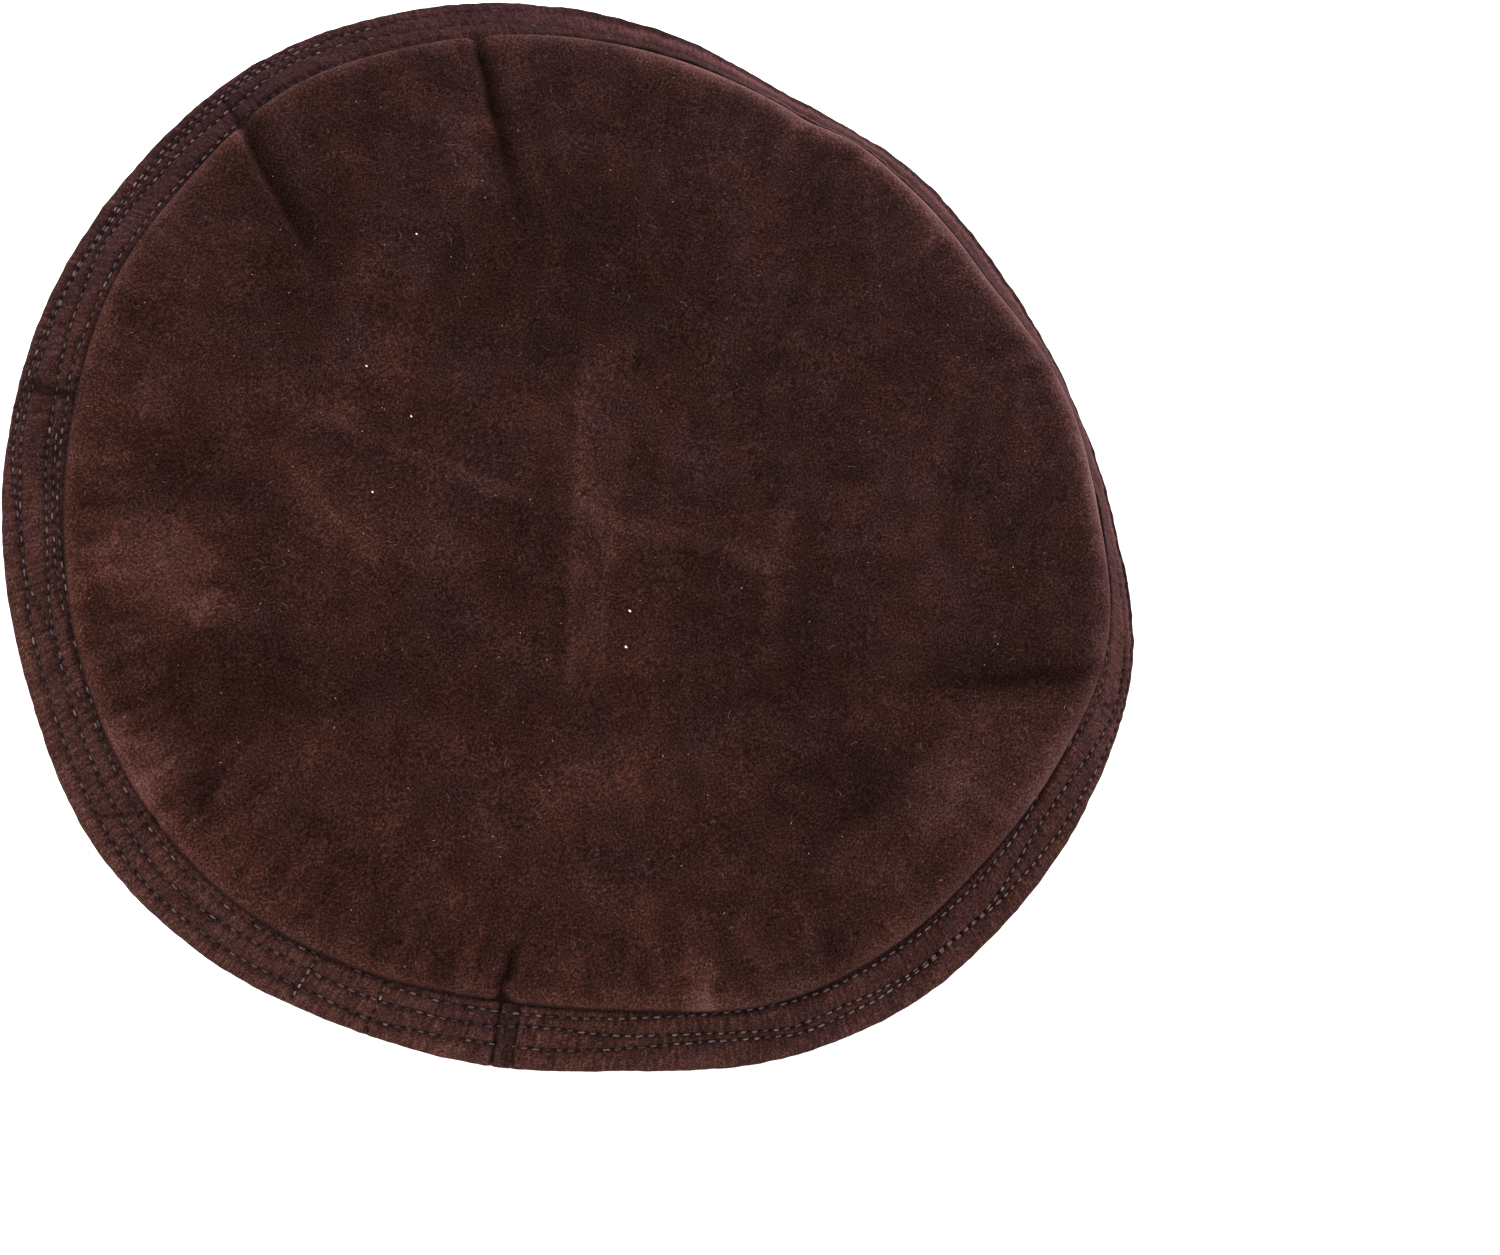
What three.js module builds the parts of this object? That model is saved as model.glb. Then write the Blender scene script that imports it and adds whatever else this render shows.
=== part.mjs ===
// Pakol: a soft round velvet hat with a flat crown, a stitched band round it and a rolled brim.
// Millimetres, +Z up. The hat stands on the flattened underside of its roll, centred on the Z axis.
import * as THREE from "three";

// Cloth
const CROWN_WALL = 2;
const BAND_THICKNESS = 3.2;
const NECK_WALL = 2;
const SEAM_GAP = 0.4;

// Band: one strip of even width, steeper wherever the fold stands closer to the seam
const BAND_WIDTH = 17;
const FOLD_REACH = 0.8;
const FOLD_HEIGHT = 46;
const FOLD_SWAY = 0.4;
const FOLD_EDGE_POINTS = 5;

// Outline of the hat: radius of the band's outer fold and of the crown seam, by angle about the Z axis
const OUTLINE = [
  { angle: 0, fold: 136.2, seam: 122.2 },
  { angle: 15, fold: 138.4, seam: 125.4 },
  { angle: 30, fold: 140.6, seam: 129.2 },
  { angle: 45, fold: 136.5, seam: 126.4 },
  { angle: 60, fold: 134.2, seam: 124.3 },
  { angle: 75, fold: 133.2, seam: 122.1 },
  { angle: 90, fold: 134.4, seam: 122.6 },
  { angle: 105, fold: 132.3, seam: 121.1 },
  { angle: 120, fold: 136.2, seam: 123.2 },
  { angle: 135, fold: 138.6, seam: 124.9 },
  { angle: 150, fold: 139.6, seam: 125.7 },
  { angle: 165, fold: 139.5, seam: 126.4 },
  { angle: 180, fold: 136.5, seam: 123.1 },
  { angle: 195, fold: 135.1, seam: 122.3 },
  { angle: 210, fold: 133.9, seam: 120.7 },
  { angle: 225, fold: 133.2, seam: 120.6 },
  { angle: 240, fold: 133.1, seam: 122.3 },
  { angle: 255, fold: 135.3, seam: 123.7 },
  { angle: 270, fold: 133.6, seam: 123.3 },
  { angle: 285, fold: 129.7, seam: 119.7 },
  { angle: 300, fold: 127.9, seam: 115.7 },
  { angle: 315, fold: 127.1, seam: 115.9 },
  { angle: 330, fold: 131.5, seam: 120.5 },
  { angle: 345, fold: 134.8, seam: 121.7 },
];

// Crown: a rounded edge above the seam, then a low dome
const CROWN_EDGE_ROUND = 3;
const CROWN_DOME = 2.4;
// Rings of the crown from its seam to its middle: share of the seam radius, less a fixed inset
const CROWN_RINGS = [
  { share: 1, inset: 0 },
  { share: 1, inset: 0.3 },
  { share: 1, inset: 1.2 },
  { share: 1, inset: 3.1 },
  { share: 0.935, inset: 0 },
  { share: 0.88, inset: 0 },
  { share: 0.8, inset: 0 },
  { share: 0.68, inset: 0 },
  { share: 0.52, inset: 0 },
  { share: 0.34, inset: 0 },
  { share: 0.16, inset: 0 },
];
// Tucks where the crown is gathered into its seam: reach inwards, half width, share of the height lost
const TUCKS = [
  { name: "top_tuck", angle: 142.5, lean: 0, reach: 40, width: 3.2, share: 0.5 },
  { name: "left_tuck", angle: 171.5, lean: 6, reach: 36, width: 3.4, share: 0.5 },
  { name: "low_crease", angle: 257.5, lean: 1.5, reach: 19, width: 2.6, share: 0.38 },
  { name: "join_tuck", angle: 300, lean: -1, reach: 22, width: 2.6, share: 0.6 },
  { name: "soft_pleat", angle: 321.5, lean: 3, reach: 20, width: 3.6, share: 0.3 },
];
const TUCK_SECTION_STEPS = [-2.6, -1.2, 0, 1.2, 2.6];
// A tuck is shallow at the seam itself and full this far in
const TUCK_SEAT = { share: 0.35, inset: 6 };
// Broad hollows and swellings of the soft crown
const CROWN_DENTS = [
  { name: "middle_sag", x: -4, y: -2, radius: 62, lift: -1.6 },
  { name: "near_swell", x: 34, y: -72, radius: 34, lift: 0.9 },
  { name: "left_swell", x: -74, y: -56, radius: 34, lift: 0.8 },
  { name: "far_hollow", x: -8, y: 86, radius: 30, lift: -0.7 },
  { name: "right_swell", x: 88, y: 22, radius: 28, lift: 0.8 },
];

// Roll: cloth wound solid, in section a rounded oblong standing round the head opening
const ROLL_RADIUS = 107;
const ROLL_HALF_WIDTH = 14.5;
const ROLL_HALF_HEIGHT = 24.5;
const ROLL_CENTRE_HEIGHT = 21.2;
const ROLL_SQUARENESS = 2.6;
const ROLL_PITCH = 3.2;
const ROLL_FOLLOW = 0.35;
const ROLL_FOLLOW_MEAN = 134.7;
// The outer turn of the roll in degrees, from where the neck meets it round to the crease under the neck
const OUTER_TURN = { from: 150, to: 486, step: 16 };
// Neck: the cloth between the crown seam and the roll
const NECK_SEAM_INSET = 3.9;
const NECK_SEAM_DROP = 0.7;
const NECK_UPPER_PULL = 8;
const NECK_LOWER_PULL = 14;
const NECK_STEPS = 5;

const CROWN_SECTIONS = 60;
const ROLL_SECTIONS = 72;

const radians = (degrees) => (degrees * Math.PI) / 180;
const wrapped = (degrees) => ((((degrees + 180) % 360) + 360) % 360) - 180;

/** Value of one column of the outline at an angle, through its rows as a smooth closed curve. */
function outlineAt(column, angle) {
  const count = OUTLINE.length;
  const place = ((((angle / 360) % 1) + 1) % 1) * count;
  const row = Math.floor(place);
  const t = place - row;
  const value = (step) => OUTLINE[(row + step + count) % count][column];
  const rising = (value(1) - value(-1)) / 2;
  const leaving = (value(2) - value(0)) / 2;
  const a = 2 * value(0) - 2 * value(1) + rising + leaving;
  const b = -3 * value(0) + 3 * value(1) - 2 * rising - leaving;
  return ((a * t + b) * t + rising) * t + value(0);
}

const riseOf = (spread) => Math.sqrt(BAND_WIDTH ** 2 - spread ** 2);
const MEAN_RISE = OUTLINE.reduce((sum, row) => sum + riseOf(row.fold - row.seam), 0) / OUTLINE.length;
const MEAN_SEAM_HEIGHT = FOLD_HEIGHT + MEAN_RISE;

/** Seam and fold of the hat at an angle, with the band's slope between them. */
function sectionAt(angle) {
  const fold = outlineAt("fold", angle);
  const seam = outlineAt("seam", angle);
  const rise = riseOf(fold - seam);
  const foldHeight = FOLD_HEIGHT + FOLD_SWAY * (MEAN_RISE - rise);
  return {
    angle,
    fold,
    seam,
    foldHeight,
    seamHeight: foldHeight + rise,
    along: new THREE.Vector2((fold - seam) / BAND_WIDTH, -rise / BAND_WIDTH),
    outward: new THREE.Vector2(rise / BAND_WIDTH, (fold - seam) / BAND_WIDTH),
  };
}

/** Angles of the crown's sections: evenly spaced, with closer ones across each tuck. */
function crownAngles() {
  const close = TUCKS.flatMap((tuck) => TUCK_SECTION_STEPS.map((step) => tuck.angle + step));
  const even = Array.from({ length: CROWN_SECTIONS }, (_, i) => (360 * i) / CROWN_SECTIONS);
  const clear = even.filter((angle) => close.every((other) => Math.abs(wrapped(angle - other)) > 1.6));
  return [...clear, ...close].sort((a, b) => a - b);
}

/** Point of the hat from a radius and height at an angle. */
function pointAt(angle, radius, height) {
  return [radius * Math.cos(radians(angle)), radius * Math.sin(radians(angle)), height];
}

/** Share of the crown's height left at a place, where the tucks draw it down. */
function tuckedShare(angle, radius, seam) {
  return TUCKS.reduce((share, tuck) => {
    const inwards = (seam - radius) / tuck.reach;
    if (inwards >= 1) return share;
    const middle = tuck.angle + tuck.lean * inwards;
    const across = (radians(wrapped(angle - middle)) * radius) / tuck.width;
    const seated = TUCK_SEAT.share + (1 - TUCK_SEAT.share) * Math.min((seam - radius) / TUCK_SEAT.inset, 1);
    return share * (1 - tuck.share * seated * Math.exp(-(across ** 2)) * (1 - inwards ** 2));
  }, 1);
}

/** Lift of the crown by its broad hollows and swellings. */
function dentLift(x, y) {
  return CROWN_DENTS.reduce((lift, dent) => {
    const far = Math.hypot(x - dent.x, y - dent.y) / dent.radius;
    return lift + dent.lift * Math.exp(-(far ** 2));
  }, 0);
}

/** Height of the crown's upper face. */
function crownHeight(section, radius) {
  const share = radius / section.seam;
  const inset = Math.min(section.seam - radius, CROWN_EDGE_ROUND);
  const edge = Math.sqrt(CROWN_EDGE_ROUND ** 2 - (CROWN_EDGE_ROUND - inset) ** 2);
  const level = MEAN_SEAM_HEIGHT + (section.seamHeight - MEAN_SEAM_HEIGHT) * share ** 2;
  const [x, y] = pointAt(section.angle, radius, 0);
  const puff = (edge + CROWN_DOME * (1 - share ** 4)) * tuckedShare(section.angle, radius, section.seam);
  return level + puff + dentLift(x, y) * (1 - share ** 6);
}

/** Points a wall's thickness to one side of a line of points, along its normals. */
function offsetLine(line, distance) {
  return line.map((point, i) => {
    const before = line[Math.max(i - 1, 0)];
    const after = line[Math.min(i + 1, line.length - 1)];
    const tangent = after.clone().sub(before).normalize();
    return new THREE.Vector2(point.x - tangent.y * distance, point.y + tangent.x * distance);
  });
}

/** Upper and lower points of one crown section, from the seam inwards. */
function crownSection(section) {
  const upper = CROWN_RINGS.map((ring) => {
    const radius = section.seam * ring.share - ring.inset;
    return new THREE.Vector2(radius, crownHeight(section, radius));
  });
  const lower = offsetLine(upper, CROWN_WALL);
  lower[0].set(section.seam - CROWN_WALL, section.seamHeight);
  return { upper, lower };
}

/** Closed line round one band section: outer face, rounded fold, under face. */
function bandSection(section) {
  const start = new THREE.Vector2(section.seam, section.seamHeight);
  const round = BAND_THICKNESS / 2;
  const at = (along, out) =>
    start.clone().addScaledVector(section.along, along).addScaledVector(section.outward, out);
  const end = BAND_WIDTH + FOLD_REACH - round;
  const loop = [at(SEAM_GAP, 0), at(end / 2, 0)];
  for (let i = 0; i < FOLD_EDGE_POINTS; i += 1) {
    const turn = Math.PI * (0.5 - i / (FOLD_EDGE_POINTS - 1));
    loop.push(at(end + round * Math.cos(turn), round * Math.sin(turn) - round));
  }
  loop.push(at(end / 2, -BAND_THICKNESS), at(SEAM_GAP, -BAND_THICKNESS));
  return loop;
}

/** Point on the roll's outer skin, pressed level where it rests. */
function rollPoint(centre, turn) {
  const shrink = (ROLL_PITCH * (turn - OUTER_TURN.from)) / 360;
  const rounded = (value) => Math.sign(value) * Math.abs(value) ** (2 / ROLL_SQUARENESS);
  const radius = centre + (ROLL_HALF_WIDTH - shrink) * rounded(Math.cos(radians(turn)));
  const height = ROLL_CENTRE_HEIGHT + (ROLL_HALF_HEIGHT - shrink) * rounded(Math.sin(radians(turn)));
  return new THREE.Vector2(radius, Math.max(height, 0));
}

/** Closed line round one section of the brim: down the neck, round the roll, back up under the neck. */
function brimSection(section) {
  const centre = ROLL_RADIUS + ROLL_FOLLOW * (section.fold - ROLL_FOLLOW_MEAN);
  const count = Math.round((OUTER_TURN.to - OUTER_TURN.from) / OUTER_TURN.step) + 1;
  const turns = Array.from({ length: count }, (_, i) => OUTER_TURN.from + i * OUTER_TURN.step);
  const roll = turns.map((turn) => rollPoint(centre, turn));
  const seam = new THREE.Vector2(section.seam - NECK_SEAM_INSET, section.seamHeight - NECK_SEAM_DROP);
  const downward = roll[1].clone().sub(roll[0]).normalize();
  const neck = new THREE.CubicBezierCurve(
    seam,
    seam.clone().addScaledVector(section.outward, -NECK_UPPER_PULL),
    roll[0].clone().addScaledVector(downward, -NECK_LOWER_PULL),
    roll[0],
  ).getPoints(NECK_STEPS);
  return [...offsetLine(neck, NECK_WALL), ...roll.reverse(), ...neck.slice(0, -1).reverse()];
}

/** Geometry from numbered points and quads or triangles. */
function geometryOf(points, faces) {
  const geometry = new THREE.BufferGeometry();
  geometry.setAttribute("position", new THREE.Float32BufferAttribute(points.flat(), 3));
  geometry.setIndex(faces.flat());
  geometry.computeVertexNormals();
  return geometry;
}

/** Quads between two neighbouring rows of numbered points, as triangles. */
function quadStrip(first, second, count, closed) {
  const faces = [];
  for (let i = 0; i < (closed ? count : count - 1); i += 1) {
    const next = (i + 1) % count;
    faces.push([first + i, second + next, second + i], [first + i, first + next, second + next]);
  }
  return faces;
}

/** Solid ring through closed section lines, one per angle. */
function ringGeometry(angles, loops) {
  const count = loops[0].length;
  const points = loops.flatMap((loop, i) => loop.map((point) => pointAt(angles[i], point.x, point.y)));
  const faces = loops.flatMap((_, i) => quadStrip(i * count, ((i + 1) % loops.length) * count, count, true));
  return geometryOf(points, faces);
}

/** Solid crown: upper and lower faces out to the seam, each closed by a point in the middle. */
function crownGeometry(angles) {
  const lines = angles.map((angle) => {
    const { upper, lower } = crownSection(sectionAt(angle));
    return [...upper.reverse(), ...lower];
  });
  const count = lines[0].length;
  const points = lines.flatMap((line, i) => line.map((point) => pointAt(angles[i], point.x, point.y)));
  const faces = lines.flatMap((_, i) => quadStrip(i * count, ((i + 1) % lines.length) * count, count, false));
  const middle = MEAN_SEAM_HEIGHT + CROWN_EDGE_ROUND + CROWN_DOME + dentLift(0, 0);
  const top = points.push(pointAt(0, 0, middle)) - 1;
  const bottom = points.push(pointAt(0, 0, middle - CROWN_WALL)) - 1;
  lines.forEach((_, i) => {
    const here = i * count;
    const next = ((i + 1) % lines.length) * count;
    faces.push([top, here, next], [bottom, next + count - 1, here + count - 1]);
  });
  return geometryOf(points, faces);
}

/** Named mesh of one piece in its velvet. */
function piece(name, geometry, colour) {
  const velvet = new THREE.MeshStandardMaterial({ color: colour, roughness: 0.95, metalness: 0 });
  velvet.name = `${name}_velvet`;
  const mesh = new THREE.Mesh(geometry, velvet);
  mesh.name = name;
  return mesh;
}

const angles = crownAngles();
const bandLoops = angles.map((angle) => bandSection(sectionAt(angle)));
const rollAngles = Array.from({ length: ROLL_SECTIONS }, (_, i) => (360 * i) / ROLL_SECTIONS);
const rollLoops = rollAngles.map((angle) => brimSection(sectionAt(angle)));

const pakol = new THREE.Group();
pakol.name = "pakol";
pakol.add(
  piece("crown", crownGeometry(angles), "#3a2421"),
  piece("stitched_band", ringGeometry(angles, bandLoops), "#412a28"),
  piece("rolled_brim", ringGeometry(rollAngles, rollLoops), "#38221f"),
);

// Centre the hat's outline over the origin
const middle = new THREE.Box3().setFromObject(pakol).getCenter(new THREE.Vector3());
pakol.children.forEach((mesh) => mesh.geometry.translate(-middle.x, -middle.y, 0));

export default pakol;
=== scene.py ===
"""Looks of a soft velvet pakol: a padded round crown, a topstitched band and a rolled brim.

Tables are in millimetres and degrees. Angles run anticlockwise about the hat's own upright axis, seen
from above. On the band, "across" runs down from the crown seam (0) to the outer fold (17). A ridge or
crease is given as its middle and width, a rise as its start and end, and a window as the places where it
starts, is full, fades and ends.
"""

import logging
import math
from dataclasses import dataclass, field
from enum import Enum
from typing import Any, Callable, NamedTuple, Optional, Sequence, TypeVar

import bpy
import numpy as np
from mathutils import Matrix, Vector


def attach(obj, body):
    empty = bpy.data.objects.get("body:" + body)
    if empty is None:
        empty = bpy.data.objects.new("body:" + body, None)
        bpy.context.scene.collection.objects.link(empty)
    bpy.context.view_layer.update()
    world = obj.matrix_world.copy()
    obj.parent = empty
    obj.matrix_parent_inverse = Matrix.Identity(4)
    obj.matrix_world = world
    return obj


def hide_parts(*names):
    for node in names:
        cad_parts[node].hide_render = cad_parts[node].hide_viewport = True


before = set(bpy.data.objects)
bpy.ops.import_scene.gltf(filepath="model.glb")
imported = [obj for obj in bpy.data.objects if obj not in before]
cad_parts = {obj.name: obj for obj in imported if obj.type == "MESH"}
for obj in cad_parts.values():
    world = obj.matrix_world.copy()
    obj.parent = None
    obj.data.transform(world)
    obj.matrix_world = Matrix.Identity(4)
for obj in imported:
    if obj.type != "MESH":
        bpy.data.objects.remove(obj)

Array = np.ndarray
Mesh = bpy.types.Mesh
Piece = bpy.types.Object
Socket = bpy.types.NodeSocket
Tree = bpy.types.NodeTree
Pair = tuple[float, float]
Pairs = tuple[Pair, ...]
Window = tuple[float, float, float, float]
Inputs = dict[str | int, Any]
Row = TypeVar("Row")

LOG = logging.getLogger("pakol")
MM = 0.001
# The hat's upright axis in the part's frame
AXIS_X, AXIS_Y = 0.3365, -0.2765
# Radius at which lengths along the band and its gathers are measured
BAND_RADIUS = 130.0
# Direction of the cloth's weft
THREAD_ANGLE = 41.0
# Angles over which the hat's far side begins and ends
FAR_WINDOW = (25.0, 45.0, 118.0, 140.0)
# Numbers that scatter the slopes of the noise's grid, and the gain that brings the noise near 1
SCATTER_U, SCATTER_V, SCATTER_SEED, SCATTER = 127.1, 311.7, 74.7, 43758.5453
NOISE_GAIN = 1.5


class OutlineRow(NamedTuple):
    """Radii of the band's outer fold and of the crown seam; rows stand evenly round the hat."""

    fold: float
    seam: float


class SeamWave(NamedTuple):
    """A short stretch where the gathered crown pulls its seam in (shift below 0) or lets it out."""

    angle: float
    width: float
    shift: float


class NapPatch(NamedTuple):
    """An oval where the pile's colour is lighter (lift above 0) or darker, long along its turn."""

    x: float
    y: float
    long: float
    wide: float
    turn: float
    lift: float


class Tuck(NamedTuple):
    """A tuck where the crown is gathered into its seam.

    It leans by so many degrees over its reach and takes a share of the crown's height over its width.
    Valley and ridge are depths, and the shade is painted shade over the shade width beside the valley.
    The hook bends the valley sideways near the seam.
    """

    angle: float
    lean: float
    reach: float
    width: float
    share: float
    valley: float
    ridge: float
    shade: float
    shade_width: float
    hook: float


class Dent(NamedTuple):
    """A broad hollow or swelling of the crown."""

    x: float
    y: float
    radius: float
    lift: float


class FoldMark(NamedTuple):
    """A soft straight mark left in the crown by folding; its lift raises the cloth and lightens or darkens
    its colour, partly as painted light and shade of the fold.
    """

    x0: float
    y0: float
    x1: float
    y1: float
    width: float
    lift: float


class Cloud(NamedTuple):
    """A layer of smooth noise: its depth, the width of its humps and the number of its pattern."""

    depth: float
    size: float
    seed: int


Clouds = tuple[Cloud, ...]


class Streak(NamedTuple):
    """A layer of marks drawn out along the threads: depth, lengths along weft and warp, and pattern."""

    depth: float
    weft: float
    warp: float
    seed: int


class Closing(Enum):
    """How a row of stitches ends."""

    LOOP = "loop"
    OPEN = "open"


class Mark(Enum):
    """What a line down the band is."""

    JOIN = "join"
    TACK = "tack"
    CREASE = "crease"


class BandLine(NamedTuple):
    """A line down the band, from a place near the fold to a place near the seam."""

    kind: Mark
    outer_angle: float
    outer_across: float
    inner_angle: float
    inner_across: float
    width: float
    depth: float
    # How deep the painted shade along the line is
    dark: float


def rows_of(kind: Callable[..., Row], *rows: Sequence[Any]) -> tuple[Row, ...]:
    """Rows of a table, with the columns of their kind."""
    return tuple(kind(*row) for row in rows)


OUTLINE = rows_of(
    OutlineRow,
    (136.2, 122.2), (138.4, 125.4), (140.6, 129.2), (136.5, 126.4), (134.2, 124.3), (133.2, 122.1),
    (134.4, 122.6), (132.3, 121.1), (136.2, 123.2), (138.6, 124.9), (139.6, 125.7), (139.5, 126.4),
    (136.5, 123.1), (135.1, 122.3), (133.9, 120.7), (133.2, 120.6), (133.1, 122.3), (135.3, 123.7),
    (133.6, 123.3), (129.7, 119.7), (127.9, 115.7), (127.1, 115.9), (131.5, 120.5), (134.8, 121.7),
)

SEAM_WAVES = rows_of(SeamWave, (102.5, 2.5, -0.5), (96.0, 4.0, 0.7), (74.0, 4.0, -0.4), (57.0, 9.0, 1.0))

TUCKS = rows_of(
    Tuck,
    (142.5, -0.6, 56, 3.2, 0.5, 1.3, 0.9, 1.15, 2.8, 0.0),
    (171.5, 7.0, 46, 3.4, 0.5, 1.2, 0.9, 0.95, 4.5, 0.0),
    (257.5, 1.5, 19, 2.6, 0.38, 0.5, 0.2, 0.3, 1.2, 0.0),
    (300.0, 0.0, 14, 2.2, 0.6, 1.3, 0.4, 1.6, 0.7, -1.5),
    (321.5, 3.0, 20, 3.6, 0.3, 0.0, 0.6, 0.1, 2.5, 0.0),
)

DENTS = rows_of(
    Dent, (-4, -2, 62, -1.6), (34, -72, 34, 0.9), (-74, -56, 34, 0.8), (-8, 86, 30, -0.7), (88, 22, 28, 0.8)
)

FOLD_MARKS = rows_of(
    FoldMark,
    (-24, 34, 22, -30, 4.5, 0.4), (-27, 30, 20, -32, 1.3, 0.3), (-19, 38, 25, -27, 1.3, 0.3),
    (-58, -24, -20, -10, 2.0, 0.3), (-16, -8, 40, 21, 2.6, 0.4), (29, 40, 50, 6, 2.4, 0.3),
    (-55, -40, -26, -44, 1.6, 0.3), (113, 54, 85, 22, 1.5, -0.3), (115, 56, 98, 36, 2.4, -0.3),
    (116, 50, 92, 19, 2.4, 0.2), (-10, 105, 9, 60, 2.5, -0.2), (4, -112, 12, -92, 1.4, 0.2),
    (27, -108, 36, -80, 1.6, 0.1), (-22, -98, -20, -116, 0.9, -0.4),
)

# Lighter and darker patches of the crown's pile colour, the light ones first: brushed pile, and beside the
# folds painted light and shade
NAP_PATCHES = rows_of(
    NapPatch,
    (-65, -78, 15, 11, 40, 0.7), (-47, -77, 8, 5, 30, 0.7), (-35, -115, 14, 6, 165, 0.5),
    (-90, -70, 14, 8, 135, 0.2), (-45, -40, 20, 9, 0, 0.3), (-65, -25, 16, 7, 20, 0.2),
    (-65, -5, 12, 7, 30, 0.2), (10, 110, 16, 9, 130, 0.2), (-80, 50, 14, 6, 135, 0.3),
    (-25, 85, 22, 7, 135, 0.2), (70, 45, 14, 5, 135, 0.2), (110, 20, 24, 13, 75, 0.4),
    (100, 5, 12, 9, 130, 0.2), (100, -20, 12, 7, 105, 0.2), (90, -70, 9, 4, 135, 0.4),
    (45, -45, 13, 8, 40, 0.4), (35, -65, 16, 8, 45, 0.2), (-30, -85, 24, 14, 45, -0.3),
    (-65, -90, 7, 5, 45, -0.3), (-75, -55, 18, 8, 15, -0.3), (-90, 0, 24, 11, 105, -0.3),
    (-40, 45, 40, 25, 45, -0.3), (-5, -20, 20, 9, 120, -0.2), (15, -45, 60, 8, 40, -0.2),
    (35, 5, 14, 10, 135, -0.2), (60, 5, 20, 14, 45, -0.3), (85, -10, 20, 12, 60, -0.3),
    (100, 40, 24, 7, 45, -0.3),
)

# Painted sheen: lift of the nap colour on the crown's rounded edge, brightest on the far side where it is
# seen aslant: angle, lift
RIM_SHEEN = (
    (0, 1.1), (30, 1.4), (45, 2.3), (115, 2.3), (140, 1.0), (180, 0.8),
    (215, 0.3), (245, 0.6), (275, 0.7), (300, 0.6), (340, 0.8),
)

# Painted sheen and shade on the band's nap colour round the hat, light on the far side and dark on the left:
# angle, lift
BAND_SHEEN = (
    (10, 0.4), (35, 1.0), (110, 1.0), (140, 0.1), (165, -0.1), (210, -0.1),
    (250, 0.2), (300, 0.3), (330, 0.2),
)

# How brightly the thread shows, as painted highlight and shade on it, and how high it lies: angle, share
STITCH_SHINE = (
    (0, 0.7), (18, 0.65), (32, 0.25), (50, 0.05), (150, 0.1), (163, 0.4), (188, 0.45),
    (200, 0.3), (232, 0.25), (275, 0.2), (300, 0.25), (326, 0.35), (340, 0.65),
)

# Rows of topstitching: angle, across
INNER_ROW = (
    (4, 2.4), (11, 0.9), (15, 0.6), (17, 0.9), (20, 2.0), (24, 3.4), (31, 1.3), (60, 1.6), (110, 1.6),
    (128.6, 0.9), (137.5, 1.8), (165, 1.8), (178, 1.6), (189, 2.7), (199.6, 2.4), (205, 3.6), (210, 2.3),
    (220, 2.0), (231.5, 0.9), (243, 1.0), (249, 1.7), (258, 2.6), (267, 2.7), (276, 1.5), (281, 0.8),
    (285, 1.2), (294, 2.9), (312, 2.6), (322, 1.2), (327, 0.9), (337, 1.6), (345, 1.7), (353, 2.2),
    (359, 3.0),
)
MIDDLE_ROW = (
    (1.5, 9.3), (4.6, 7.8), (7.7, 6.4), (13, 6.6), (17.8, 8.9), (21.3, 11.2), (24, 12.4), (40, 10),
    (70, 8.5), (100, 7.5), (120, 6.5), (134, 5.5), (140, 7.2), (146, 6.9), (161, 10.3), (165, 8.9),
    (170, 6.9), (175, 8.8), (183, 9.3), (191, 10.1), (197, 8.1), (204, 7.2), (210, 5.9), (217, 5.8),
    (223, 4.7), (229, 5.1), (233, 6.1), (240, 6.0), (246, 6.6), (254, 6.9), (260, 8.0), (265, 7.9),
    (272, 6.3), (276, 5.6), (281, 6.1), (284, 6.8), (299, 7.2), (303, 5.9), (308, 6.0), (311, 7.1),
    (316, 7.3), (323, 6.5), (328, 7.1), (332, 8.8), (338, 8.2), (343, 9.0), (347, 10.0), (352, 9.8),
    (357.4, 10.6),
)
OUTER_ROW = (
    (0, 11.6), (3, 12.1), (7, 12.8), (11, 13.5), (14, 13.7), (18.5, 14.9), (22, 15.8), (30, 15.5),
    (60, 14), (90, 13.2), (120, 13), (150, 13), (166, 13.4), (171, 12.2), (188, 12.1), (196, 13.6),
    (204, 13.3), (209, 13.8), (214, 13.5), (219, 12.4), (224, 12.1), (228, 11.7), (234, 12.3), (244, 12.1),
    (253, 12.3), (262, 13.1), (272, 12.3), (281, 11.6), (285, 12.5), (289, 13.1), (292, 12.2), (299, 11.6),
    (308, 11.8), (313, 11.3), (318, 10.1), (323, 8.9), (328, 9.3), (333, 11.2), (341, 11), (354, 10.4),
)
SECOND_INNER_ROW = ((213.0, 3.6), (218.0, 3.4), (224.0, 3.0), (229.0, 2.6), (233.5, 2.0))
SECOND_OUTER_ROW = (
    (160, 15.5), (166, 14.8), (188, 13.2), (203, 14.9), (209, 15.6), (214, 15.7), (218, 14.2), (222, 12.9),
)
CROSSING_ROW = (
    (228.4, 11.7), (229.5, 10.8), (231.6, 9.0), (233.7, 7.3), (235.8, 6.3), (238.8, 5.1), (240.8, 4.0),
    (242.8, 3.0), (244.7, 2.4), (246.6, 1.7),
)

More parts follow.
